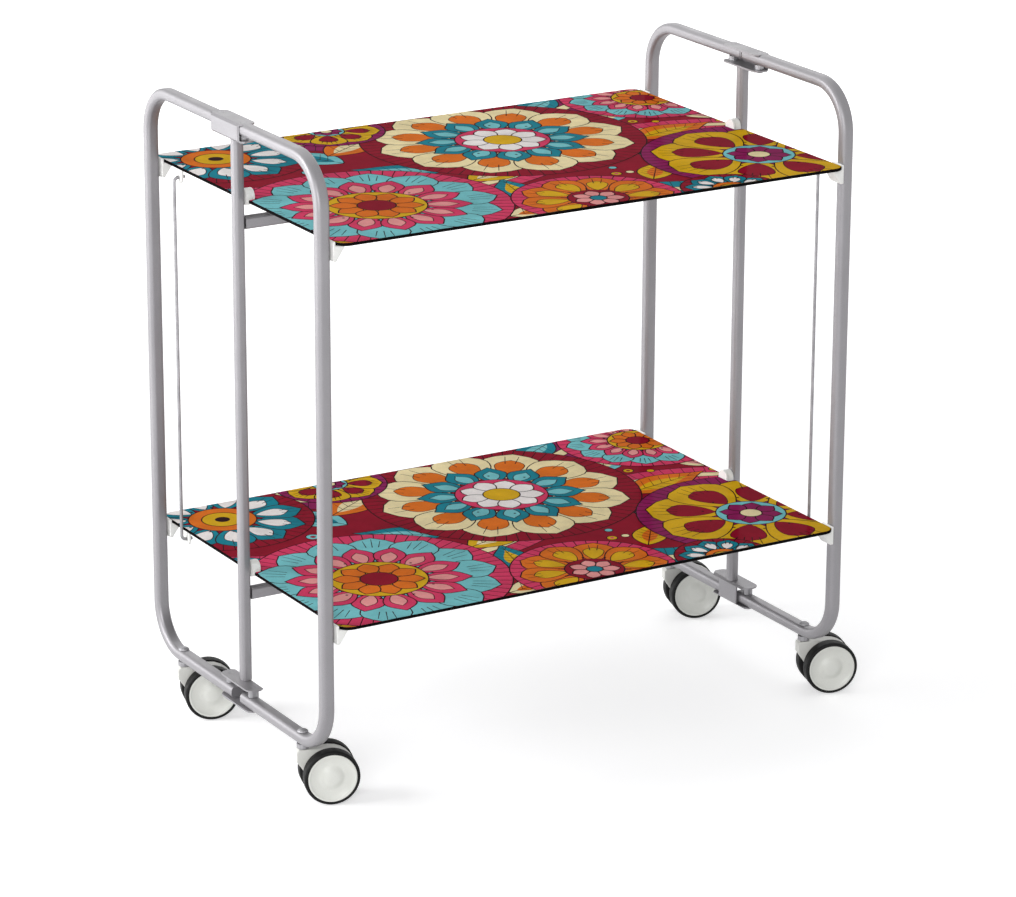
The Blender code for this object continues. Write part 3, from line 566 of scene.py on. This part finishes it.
for node in NODES:
    if node.endswith("_post"):
        post(node)
    elif "crossbar" in node:
        refinish(node, LACQUER)
    elif "hinge_channel" in node:
        refinish(node, LACQUER, SHEET_EASE)
    elif "castor_stem" in node:
        refinish(node, DULL_ZINC)
    elif "hinge_pin" in node or "link_rod" in node:
        refinish(node, ZINC)
    elif "pivot_block" in node or "link_bracket" in node or "corner_support" in node:
        refinish(node, WHITE, MOULD_EASE)
    elif "tray_hinge" in node:
        tray_hinge(node, 1 if "_right_" in node else -1)


# The trays' print: flat shapes of ink in levels, drawn about the tray's centre


def clip(poly, region):
    """Sutherland-Hodgman clip of a polygon by a convex, counter-clockwise one."""
    out = list(poly)
    n = len(region)
    for i in range(n):
        if not out:
            return []
        a, b = region[i], region[(i + 1) % n]
        ex, ey = b[0] - a[0], b[1] - a[1]
        src, out = out, []
        m = len(src)
        dist = [ex * (p[1] - a[1]) - ey * (p[0] - a[0]) for p in src]
        for k in range(m):
            p, q, dp, dq = src[k], src[(k + 1) % m], dist[k], dist[(k + 1) % m]
            if dp >= 0:
                out.append(p)
            if (dp >= 0) != (dq >= 0):
                t = dp / (dp - dq)
                out.append((p[0] + (q[0] - p[0]) * t, p[1] + (q[1] - p[1]) * t))
    return out


def ring_points(cx, cy, r, n=56):
    turns = [math.tau * k / n for k in range(n)]
    return [(cx + r * math.cos(a), cy + r * math.sin(a)) for a in turns]


def petal_points(cx, cy, angle, r0, r1, half, fat, tip, n=9):
    """A petal from r0 to r1, widest at the share fat of its length; a low tip rounds its end."""
    side = []
    for k in range(n + 1):
        t = k / n
        if t < fat:
            w = math.sin(math.pi / 2 * (t / fat)) ** 0.8
        else:
            u = (t - fat) / (1 - fat)
            w = math.cos(math.pi / 2 * u) ** (0.55 + 0.65 * tip)
        side.append((r0 + (r1 - r0) * t, half * w))
    pts = side + [(r, -w) for r, w in reversed(side[1:-1])]
    ca, sa = math.cos(angle), math.sin(angle)
    return [(cx + r * ca - w * sa, cy + r * sa + w * ca) for r, w in pts]


def stroke(a, b, w0, w1):
    """A line from a to b as a four-sided polygon, w0 wide at a and w1 at b."""
    dx, dy = b[0] - a[0], b[1] - a[1]
    n = math.hypot(dx, dy) or 1.0
    nx, ny = -dy / n / 2, dx / n / 2
    return [
        (a[0] - nx * w0, a[1] - ny * w0),
        (b[0] - nx * w1, b[1] - ny * w1),
        (b[0] + nx * w1, b[1] + ny * w1),
        (a[0] + nx * w0, a[1] + ny * w0),
    ]


def grow(pts, d):
    """The polygon with each edge moved outwards by d, its sharp corners kept short."""
    folded, flattest, longest = 0.2, 0.2, 1.8
    n = len(pts)
    area = sum(
        pts[i][0] * pts[(i + 1) % n][1] - pts[(i + 1) % n][0] * pts[i][1] for i in range(n)
    )
    way = d if area > 0 else -d
    out = []
    for i in range(n):
        (ax, ay), (bx, by), (cx, cy) = pts[i - 1], pts[i], pts[(i + 1) % n]
        ux, uy, vx, vy = by - ay, ax - bx, cy - by, bx - cx
        lu, lv = math.hypot(ux, uy) or 1.0, math.hypot(vx, vy) or 1.0
        ux, uy, vx, vy = ux / lu, uy / lu, vx / lv, vy / lv
        mx, my = ux + vx, uy + vy
        lm = math.hypot(mx, my)
        if lm < folded:
            out.append((bx, by))
            continue
        mx, my = mx / lm, my / lm
        k = min(1.0 / max(mx * ux + my * uy, flattest), longest)
        out.append((bx + mx * way * k, by + my * way * k))
    return out


LEAF_FORM = (0.42, 1.5, 14)  # petal_points' fat, tip and n
RIBBON_END = 0.34  # past the tray's ends


class Art:
    """Flat ink shapes, each with its level; a higher level lies on top."""

    def __init__(self):
        self.shapes = []

    def put(self, ink, pts, level):
        self.shapes.append((ink, pts, level))

    def disc(self, cx, cy, ink, r, level, outline=True):
        if outline:
            self.put("line", ring_points(cx, cy, r + LINE), level)
        self.put(ink, ring_points(cx, cy, r), level + 1)

    def petals(self, cx, cy, ink, count, r0, r1, half, level, phase, fat, tip, inner, veins):
        """A ring of petals, none on a level with the next one; it takes nine levels."""
        long = r1 - r0
        for k in range(count):
            a = phase + math.tau * k / count
            rank = level + (4 if count % 2 and k == count - 1 else 2 * (k % 2))
            shape = petal_points(cx, cy, a, r0, r1, half, fat, tip)
            self.put("line", grow(shape, LINE), rank)
            self.put(ink, shape, rank + 1)
            if inner:
                ends = (r0 + long * 0.12, r0 + long * 0.74)
                shape = petal_points(cx, cy, a, *ends, half * 0.5, fat, tip)
                self.put("line", grow(shape, LINE * 0.7), level + 6)
                self.put(inner, shape, level + 7)
            ca, sa = math.cos(a), math.sin(a)
            for v in range(veins):
                t = (v + 1) / (veins + 1) * 2 - 1
                r_a, r_b = r0 + long * 0.60, r0 + long * (0.95 - 0.16 * abs(t))
                w = half * 0.72 * t
                foot = w * 0.7
                p = (cx + r_a * ca - foot * sa, cy + r_a * sa + foot * ca)
                q = (cx + r_b * ca - w * sa, cy + r_b * sa + w * ca)
                self.put("line", stroke(p, q, LINE * 0.8, LINE * 0.45), level + 8)

    def halo(self, cx, cy, ink, r0, r1, count, level, phase):
        """A disc behind a bloom whose rim is hatched with spokes."""
        self.disc(cx, cy, ink, r1, level)
        for k in range(count):
            a = phase + math.tau * k / count
            ca, sa = math.cos(a), math.sin(a)
            p, q = (cx + r0 * ca, cy + r0 * sa), (cx + r1 * ca, cy + r1 * sa)
            self.put("line", stroke(p, q, LINE * 0.8, LINE * 0.8), level + 2)

    def leaf(self, x, y, angle, length, half, ink, inner, level):
        """A pointed leaf with a midrib and side veins; it takes four levels."""
        shape = petal_points(x, y, angle, 0.0, length, half, *LEAF_FORM)
        self.put("line", grow(shape, LINE), level)
        self.put(ink, shape, level + 1)
        ends = (length * 0.12, length * 0.80)
        shape = petal_points(x, y, angle, *ends, half * 0.46, *LEAF_FORM)
        self.put(inner, shape, level + 2)
        ca, sa = math.cos(angle), math.sin(angle)
        tip = (x + length * 0.9 * ca, y + length * 0.9 * sa)
        self.put("line", stroke((x, y), tip, LINE, LINE * 0.4), level + 3)
        for k in range(2, 8):
            r = length * k / 9
            out = r + half * 0.5
            for s in (-1, 1):
                w = half * 0.84 * math.sin(math.pi * min(1.0, (k + 1) / 9) ** 0.8)
                p = (x + r * ca, y + r * sa)
                q = (x + out * ca - s * w * sa, y + out * sa + s * w * ca)
                self.put("line", stroke(p, q, LINE * 0.6, LINE * 0.35), level + 3)

    def ribbon(self, ink, y, rise, waves, phase, width, level, ticks=False):
        """A waving band along the whole tray."""
        n = 60
        x0, x1 = -RIBBON_END, RIBBON_END
        top, low = [], []
        for k in range(n + 1):
            x = x0 + (x1 - x0) * k / n
            turn = phase + waves * math.tau * k / n
            yy = y + rise * math.sin(turn)
            slope = rise * waves * math.tau / (x1 - x0) * math.cos(turn)
            norm = math.hypot(1, slope)
            top.append((x - slope / norm * width / 2, yy + width / 2 / norm))
            low.append((x + slope / norm * width / 2, yy - width / 2 / norm))
        for i in range(n):
            self.put(ink, [low[i], low[i + 1], top[i + 1], top[i]], level)
            if ticks:
                self.put("line", stroke(low[i], top[i], LINE * 0.55, LINE * 0.55), level + 1)


# Ribbons: y, rise, waves, phase, width, ink
RIBBONS = (
    (0.150, 0.050, 1.3, 0.4, 0.060, "plum"),
    (-0.020, 0.060, 1.1, 2.2, 0.052, "pink"),
    (-0.170, 0.040, 1.5, 4.0, 0.060, "teal"),
)
STRIPE = 0.22  # a ribbon's cream stripe, as a share of its width
# Leaves: x, y, angle, length, half width, ink, inner ink
LEAVES = (
    (-0.075, -0.010, 2.55, 0.100, 0.024, "teal", "aqua"),
    (-0.070, -0.060, 0.35, 0.100, 0.024, "mustard", "cream"),
    (0.150, -0.050, -0.75, 0.080, 0.022, "aqua", "teal"),
    (0.180, 0.010, 0.20, 0.120, 0.027, "orange", "mustard"),
    (0.190, 0.090, 0.85, 0.085, 0.022, "aqua", "cream"),
    (-0.150, 0.075, 2.10, 0.090, 0.024, "aqua", "teal"),
    (-0.150, 0.110, 0.55, 0.110, 0.025, "orange", "cream"),
    (-0.310, 0.040, -1.30, 0.070, 0.019, "teal", "aqua"),
    (-0.055, -0.150, 1.35, 0.085, 0.021, "teal", "mustard"),
    (-0.105, -0.205, 0.15, 0.080, 0.020, "cream", "orange"),
    (0.105, -0.150, 0.95, 0.075, 0.019, "mustard", "orange"),
    (0.200, 0.215, -2.60, 0.090, 0.022, "teal", "aqua"),
    (0.310, 0.050, 1.75, 0.060, 0.017, "cream", "blush"),
    (0.170, -0.190, 0.40, 0.090, 0.020, "aqua", "white"),
    (-0.330, -0.210, 0.35, 0.085, 0.021, "orange", "mustard"),
    (-0.180, 0.200, -0.10, 0.060, 0.016, "cream", "aqua"),
)
# Blooms: x, y, radius, kind
BLOOMS = (
    (-0.205, -0.098, 0.132, 0),
    (0.052, 0.078, 0.146, 1),
    (0.262, -0.118, 0.118, 2),
    (-0.262, 0.160, 0.094, 3),
    (0.292, 0.168, 0.088, 0),
    (0.012, -0.188, 0.084, 4),
    (-0.100, 0.208, 0.060, 2),
    (0.158, -0.222, 0.050, 3),
)
HALO_START, HALO_END = 0.86, 1.09  # the hatched rim, in shares of the bloom's radius
SPOKES = 520  # for each metre of radius
# The first levels of leaves, dots and blooms, and of each part of a bloom over its own first level
LEAF_LEVEL, DOT_LEVEL, BLOOM_LEVEL, PILE_TALL = 6, 22, 24, 40
OUTER, MIDDLE, PLATE, INNER, HEART, SPECKS = 3, 12, 21, 23, 32, 34
# Kinds of bloom: the halo's ink, then rings and discs from the outside in.
# A ring: ink, count, start, end, half width, level, turn, fat, tip, inner ink, veins.
# A disc: ink, radius, level, and whether it has an outline. Lengths are shares of the radius.
KINDS = (
    (
        "pink",
        ("aqua", 14, 0.42, 1.0, 0.205, OUTER, 0.0, 0.68, 0.4, None, 3),
        ("pink", 14, 0.34, 0.76, 0.13, MIDDLE, math.pi / 14, 0.6, 0.8, "blush", 0),
        ("mustard", 0.40, PLATE, True),
        ("orange", 10, 0.13, 0.37, 0.085, INNER, 0.0, 0.6, 0.7, None, 0),
        ("crimson", 0.15, HEART, True),
    ),
    (
        "crimson",
        ("cream", 12, 0.40, 1.0, 0.235, OUTER, 0.0, 0.66, 0.25, "orange", 2),
        ("teal", 12, 0.30, 0.66, 0.125, MIDDLE, math.pi / 12, 0.58, 1.2, "aqua", 0),
        ("pink", 0.36, PLATE, True),
        ("white", 9, 0.10, 0.33, 0.085, INNER, 0.0, 0.62, 0.4, None, 0),
        ("mustard", 0.14, HEART, True),
    ),
    (
        "plum",
        ("mustard", 8, 0.25, 1.0, 0.335, OUTER, 0.0, 0.70, 0.2, "crimson", 4),
        ("aqua", 0.33, PLATE, True),
        ("plum", 8, 0.08, 0.29, 0.085, INNER, 0.0, 0.6, 1.0, None, 0),
        ("cream", 0.10, HEART, True),
    ),
    (
        "crimson",
        ("teal", 11, 0.35, 1.0, 0.235, OUTER, 0.0, 0.66, 0.9, "white", 2),
        ("orange", 0.40, PLATE, True),
        ("mustard", 0.24, INNER, True),
        ("line", 0.09, HEART, False),
    ),
    (
        "pink",
        ("orange", 10, 0.30, 1.0, 0.265, OUTER, 0.0, 0.7, 0.3, "mustard", 2),
        ("crimson", 0.38, PLATE, True),
        ("blush", 7, 0.08, 0.33, 0.09, INNER, 0.0, 0.6, 0.5, None, 0),
        ("teal", 0.10, HEART, True),
    ),
)


def bloom(art, cx, cy, r, kind, spin, low):
    halo_ink, *parts = KINDS[kind]
    spokes = int(r * SPOKES)
    art.halo(cx, cy, halo_ink, r * HALO_START, r * HALO_END, spokes, low, spin)
    for part in parts:
        if len(part) == 4:
            ink, share, level, outline = part
            art.disc(cx, cy, ink, r * share, low + level, outline)
        else:
            ink, count, start, end, half, level, turn, *form = part
            sizes = (r * start, r * end, r * half)
            art.petals(cx, cy, ink, count, *sizes, low + level, spin + turn, *form)
    ring, count, size = r * 0.46, 10, 0.0016
    for k in range(count):
        a = spin + math.tau * (k + 0.5) / count
        spot = (cx + ring * math.cos(a), cy + ring * math.sin(a))
        art.put("line", ring_points(*spot, size, 8), low + SPECKS)


DOT_TRIES, DOT_SIZES = 900, (0.0042, 0.0055, 0.0075)
DOT_REACH_X, DOT_REACH_Y = 0.318, 0.222
FROM_BLOOM, FROM_DOT, FROM_LEAF = 0.004, 0.006, 0.003
DOT_PLAIN = 0.005  # dots up to this radius have no centre of a second ink


def scatter(rng):
    """Places and radii of small dots that stay clear of blooms, leaves and one another."""
    dots = []
    for _ in range(DOT_TRIES):
        x = rng.uniform(-DOT_REACH_X, DOT_REACH_X)
        y = rng.uniform(-DOT_REACH_Y, DOT_REACH_Y)
        r = rng.choice(DOT_SIZES)
        clear = True
        for bx, by, size, _kind in BLOOMS:
            if math.hypot(x - bx, y - by) <= size * HALO_END + r + FROM_BLOOM:
                clear = False
        for dx, dy, size in dots:
            if math.hypot(x - dx, y - dy) <= size + r + FROM_DOT:
                clear = False
        for lx, ly, a, length, half, *_inks in LEAVES:
            u = (x - lx) * math.cos(a) + (y - ly) * math.sin(a)
            v = -(x - lx) * math.sin(a) + (y - ly) * math.cos(a)
            if -r < u < length + r and abs(v) < half + r + FROM_LEAF:
                clear = False
        if clear:
            dots.append((x, y, r))
    return dots


def draw_print(seed):
    """Blossoms, leaves, ribbons and dots: a made-up design of the trolley's own."""
    rng = random.Random(seed)
    art = Art()
    # Levels 1 to 5: the outline, the ink, its ticks, and the outline and ink of the stripe
    for *wave, width, ink in RIBBONS:
        art.ribbon("line", *wave, width + 2 * LINE, 1)
        art.ribbon(ink, *wave, width, 2, True)
        art.ribbon("line", *wave, width * STRIPE + 2 * LINE, 4)
        art.ribbon("cream", *wave, width * STRIPE, 5)
    for i, leaf in enumerate(LEAVES):
        art.leaf(*leaf, LEAF_LEVEL + 4 * (i % 4))
    # Blooms whose halos meet lie in different piles, because two shapes on one level would flicker
    piles = []
    for cx, cy, r, kind in BLOOMS:
        spin = rng.uniform(0, math.tau)
        under = []
        for x, y, other, pile in piles:
            if math.hypot(cx - x, cy - y) < (r + other) * HALO_END + 4 * LINE:
                under.append(pile)
        pile = max(under) + 1 if under else 0
        piles.append((cx, cy, r, pile))
        bloom(art, cx, cy, r, kind, spin, BLOOM_LEVEL + PILE_TALL * pile)
    for x, y, r in scatter(rng):
        ink = rng.choice(("white", "mustard", "aqua", "orange", "cream"))
        art.put("line", ring_points(x, y, r + LINE * 0.8, 18), DOT_LEVEL)
        art.put(ink, ring_points(x, y, r, 18), DOT_LEVEL + 1)
        if r > DOT_PLAIN:
            ink = rng.choice(("crimson", "teal", "pink"))
            art.put(ink, ring_points(x, y, r * 0.45, 12), DOT_LEVEL + 2)
    return art.shapes


PRINT_SEED = 7
SHAPES = draw_print(PRINT_SEED)


# Trays


def tray_outline(lo, hi):
    """The outline with rounded corners and a notch in the middle of each short edge."""
    points = [
        (hi.x, hi.y),
        (lo.x, hi.y),
        (lo.x, NOTCH_HALF),
        (lo.x + NOTCH_DEEP, NOTCH_HALF),
        (lo.x + NOTCH_DEEP, -NOTCH_HALF),
        (lo.x, -NOTCH_HALF),
        (lo.x, lo.y),
        (hi.x, lo.y),
        (hi.x, -NOTCH_HALF),
        (hi.x - NOTCH_DEEP, -NOTCH_HALF),
        (hi.x - NOTCH_DEEP, NOTCH_HALF),
        (hi.x, NOTCH_HALF),
    ]
    c, t = CORNER, NOTCH_ROUND
    return rounded(points, [c, c, t, t, t, t] * 2)


def print_regions(hx, hy):
    """The print's face cut in convex regions: the middle, under the notches and the corners."""
    mid, floor_x, half = hx - END_STRIP, hx - NOTCH_DEEP, NOTCH_HALF + PRINT_INSET
    regions = [
        [(mid, hy), (-mid, hy), (-mid, -hy), (mid, -hy)],
        [(floor_x, half), (mid, half), (mid, -half), (floor_x, -half)],
        [(-mid, half), (-floor_x, half), (-floor_x, -half), (-mid, -half)],
    ]
    for ex in (-1, 1):
        for ey in (-1, 1):
            x0, x1, y0, y1 = ex * mid, ex * hx, ey * half, ey * hy
            corners = [(x0, y0), (x1, y0), (x1, y1), (x0, y1)]
            made = rounded(corners, [0.0, NOTCH_ROUND, CORNER - PRINT_INSET, 0.0])
            if ex * ey < 0:
                made.reverse()
            regions.append([(p[0], p[1]) for p in made])
    return regions


def tray(level):
    node = f"{level}_tray"
    lo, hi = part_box(node)
    where = Matrix.Translation((0, 0, (lo.z + hi.z) / 2))
    outline, thick = tray_outline(lo, hi), hi.z - lo.z
    body = prism(node + "_panel", outline, thick, where, [EDGE, UNDER], TRAY_EASE, 3, 60.0)
    for poly in body.data.polygons:
        if poly.normal.z < -0.9:
            poly.material_index = 1
    take(body, node)

    cx = (lo.x + hi.x) / 2
    hx, hy = (hi.x - lo.x) / 2 - PRINT_INSET, (hi.y - lo.y) / 2 - PRINT_INSET
    verts, faces, slots = [], [], []

    def add(ink, pts, z):
        area = sum(p[0] * q[1] - q[0] * p[1] for p, q in zip(pts, pts[1:] + pts[:1])) / 2
        if abs(area) < 1e-8:
            return
        if area < 0:
            pts = pts[::-1]
        start = len(verts)
        verts.extend((cx + p[0], p[1], z) for p in pts)
        faces.append(list(range(start, start + len(pts))))
        slots.append(INK_NAMES.index(ink))

    for region in print_regions(hx, hy):
        add("crimson", region, hi.z + LEVEL_TALL)
        for ink, pts, rank in SHAPES:
            cut = clip(pts, region)
            if len(cut) > 2:
                add(ink, cut, hi.z + LEVEL_TALL * (rank + 1))
    mesh = bpy.data.meshes.new(node + "_print")
    mesh.from_pydata(verts, [], faces)
    mesh.update()
    printed = link(node + "_print", mesh, INK_MATS)
    for poly, s in zip(mesh.polygons, slots):
        poly.material_index = s
    join(printed, node)


for level in ("upper", "lower"):
    tray(level)


# Castors


def castor(tag):
    lo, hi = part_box(f"{tag}_castor_stem")
    stem = Matrix.Translation(((lo.x + hi.x) / 2, (lo.y + hi.y) / 2, 0))
    axle_z = WHEEL_RADIUS * math.cos(math.pi / WHEEL_SIDES)
    hub = Matrix.Translation((CASTOR_TRAIL, 0, axle_z))
    axle = stem @ Matrix.Rotation(-CASTOR_TURN, 4, "Z") @ hub
    axle = axle @ Matrix.Rotation(-math.pi / 2, 4, "X")
    r_out = axle_z - WHEEL_CLEAR
    wide, e, inner = WHEEL_WIDE, TREAD_ROUND, TREAD_ROUND * TREAD_INNER
    tyre = [(BORE_RADIUS, 0.0), (r_out - inner, 0.0)]
    for a in (0.4, 0.8, 1.2, 1.57):
        tyre.append((r_out - inner + inner * math.sin(a), inner - inner * math.cos(a)))
    for a in (0.0, 0.3, 0.6, 0.9, 1.2, 1.57):
        tyre.append((r_out - e + e * math.cos(a), wide - e + e * math.sin(a)))
    tyre += [(CAP_RADIUS + 0.0002, wide - 0.0001)]
    tyre += [(CAP_RADIUS, wide - CAP_BED), (0.0, wide - CAP_BED)]
    cap = [(r, wide - deep) for r, deep in CAP_PROFILE]
    for which, turned in (("far", 0.0), ("near", math.pi)):
        node = f"{tag}_castor_{which}_wheel"
        out = Matrix.Translation((0, 0, HOOD_WIDE / 2 + WHEEL_GAP))
        where = axle @ Matrix.Rotation(turned, 4, "X") @ out
        take(lathe(node + "_tyre", tyre, TYRE, where, 96), node)
        join(lathe(node + "_cap", cap, CAP_CREAM, where, 96), node)
    refinish(f"{tag}_castor_hood", HOOD_WHITE, HOOD_EASE)


for end_name in ENDS:
    for side_name, _side in SIDES:
        castor(f"{end_name}_{side_name}")


# Floor, lights and camera

FLOOR_HALF = 30
FLOOR_Z = -0.0005
FLOOR_GLOW = 0.47  # near the object, where the lamps bring the floor to white
GLOW_NEAR, GLOW_FAR = 1.0, 3.0  # metres from the object, between which the glow grows to 1
WORLD_LIGHT = 0.36

scene = bpy.context.scene
scene.view_settings.view_transform = "Standard"


def seen_rays(tree):
    """1 for rays from the camera and for those that metal or glass sends on, otherwise 0."""
    rays = tree.nodes.new("ShaderNodeLightPath")
    seen = rays.outputs["Is Camera Ray"]
    for name in ("Is Glossy Ray", "Is Transmission Ray"):
        most = tree.nodes.new("ShaderNodeMath")
        most.operation = "MAXIMUM"
        tree.links.new(seen, most.inputs[0])
        tree.links.new(rays.outputs[name], most.inputs[1])
        seen = most.outputs[0]
    return seen


def mix_seen(tree, light, look, output):
    """Light from one shader, while the camera and reflections show the other."""
    mixer = tree.nodes.new("ShaderNodeMixShader")
    tree.links.new(seen_rays(tree), mixer.inputs["Fac"])
    tree.links.new(light, mixer.inputs[1])
    tree.links.new(look, mixer.inputs[2])
    tree.links.new(mixer.outputs["Shader"], tree.nodes[output].inputs["Surface"])


def floor_material():
    """Pale and matt; its glow lifts it to white and leaves the object's shadow on it."""
    mat = bpy.data.materials.new("floor_pale")
    mat.use_nodes = True
    nt = mat.node_tree
    bsdf = nt.nodes["Principled BSDF"]
    bsdf.inputs["Base Color"].default_value = (0.86, 0.86, 0.87, 1)
    bsdf.inputs["Roughness"].default_value = 0.8
    glow = nt.nodes.new("ShaderNodeEmission")
    glow.inputs["Color"].default_value = (1, 1, 1, 1)
    away = nt.nodes.new("ShaderNodeVectorMath")
    away.operation = "LENGTH"
    nt.links.new(nt.nodes.new("ShaderNodeTexCoord").outputs["Object"], away.inputs[0])
    reach = nt.nodes.new("ShaderNodeMapRange")
    reach.inputs["From Min"].default_value = GLOW_NEAR
    reach.inputs["From Max"].default_value = GLOW_FAR
    reach.inputs["To Min"].default_value = FLOOR_GLOW
    reach.inputs["To Max"].default_value = 1.0
    nt.links.new(away.outputs["Value"], reach.inputs["Value"])
    nt.links.new(reach.outputs["Result"], glow.inputs["Strength"])
    lifted = nt.nodes.new("ShaderNodeAddShader")
    nt.links.new(bsdf.outputs["BSDF"], lifted.inputs[0])
    nt.links.new(glow.outputs["Emission"], lifted.inputs[1])
    mix_seen(nt, bsdf.outputs["BSDF"], lifted.outputs["Shader"], "Material Output")
    return mat


floor_corners = [(-1, -1), (1, -1), (1, 1), (-1, 1)]
floor_mesh = bpy.data.meshes.new("floor")
floor_mesh.from_pydata(
    [(x * FLOOR_HALF, y * FLOOR_HALF, FLOOR_Z) for x, y in floor_corners], [], [(0, 1, 2, 3)]
)
floor = link("floor", floor_mesh, [floor_material()])

world = bpy.data.worlds.new("studio")
scene.world = world
world.use_nodes = True
wn = world.node_tree
back = wn.nodes["Background"]
back.inputs["Color"].default_value = (1, 1, 1, 1)
back.inputs["Strength"].default_value = WORLD_LIGHT
white = wn.nodes.new("ShaderNodeBackground")
white.inputs["Color"].default_value = (1, 1, 1, 1)
white.inputs["Strength"].default_value = 1.0
mix_seen(wn, back.outputs["Background"], white.outputs["Background"], "World Output")

# Area lamps: name, place, height that they face over the origin, size, watts
LAMPS = (
    ("key_left", (-3.4, 1.4, 1.5), 0.35, (2.2, 2.6), 116),
    ("rear_left", (-2.2, 3.2, 0.9), 0.35, (2.2, 1.8), 24),
    ("front_soft", (-2.5, -3.1, 1.7), 0.30, (1.8, 1.8), 78),
    ("rear_right", (2.4, 4.0, 2.2), 0.35, (4.0, 1.6), 18),
    ("top_soft", (0.4, 1.6, 3.2), 0.30, (3.4, 2.4), 14),
)
for name, where, height, size, power in LAMPS:
    data = bpy.data.lights.new(name, "AREA")
    data.shape = "RECTANGLE"
    data.size, data.size_y = size
    data.energy = power
    lamp = bpy.data.objects.new(name, data)
    scene.collection.objects.link(lamp)
    lamp.location = where
    facing = Vector((0, 0, height)) - Vector(where)
    lamp.rotation_euler = facing.to_track_quat("-Z", "Y").to_euler()

# The camera's fit to the photo has its origin midway between the posts
AZ, EL, ROLL = math.radians(30.727), math.radians(18.220), math.radians(0.202)
CAMERA_AT = (-2.2989, -3.8912, 1.7902)
FOCAL, PHOTO_WIDE = 4282.0, 1016  # pixels
SENSOR = 36.0

camera_data = bpy.data.cameras.new("camera")
camera = bpy.data.objects.new("camera", camera_data)
scene.collection.objects.link(camera)
scene.camera = camera
ahead = Vector((math.sin(AZ) * math.cos(EL), math.cos(AZ) * math.cos(EL), -math.sin(EL)))
level_right = Vector((math.cos(AZ), -math.sin(AZ), 0.0))
level_up = level_right.cross(ahead)
right = level_right * math.cos(ROLL) + level_up * math.sin(ROLL)
up = level_up * math.cos(ROLL) - level_right * math.sin(ROLL)
posts_mid = (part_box("left_post")[0].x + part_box("right_post")[1].x) / 2
place = (CAMERA_AT[0] + posts_mid, CAMERA_AT[1], CAMERA_AT[2])
turn = Matrix((right, up, -ahead)).transposed().to_4x4()
camera.matrix_world = Matrix.Translation(place) @ turn
camera_data.sensor_width = SENSOR
camera_data.lens = FOCAL * SENSOR / PHOTO_WIDE
camera_data.clip_end = 100
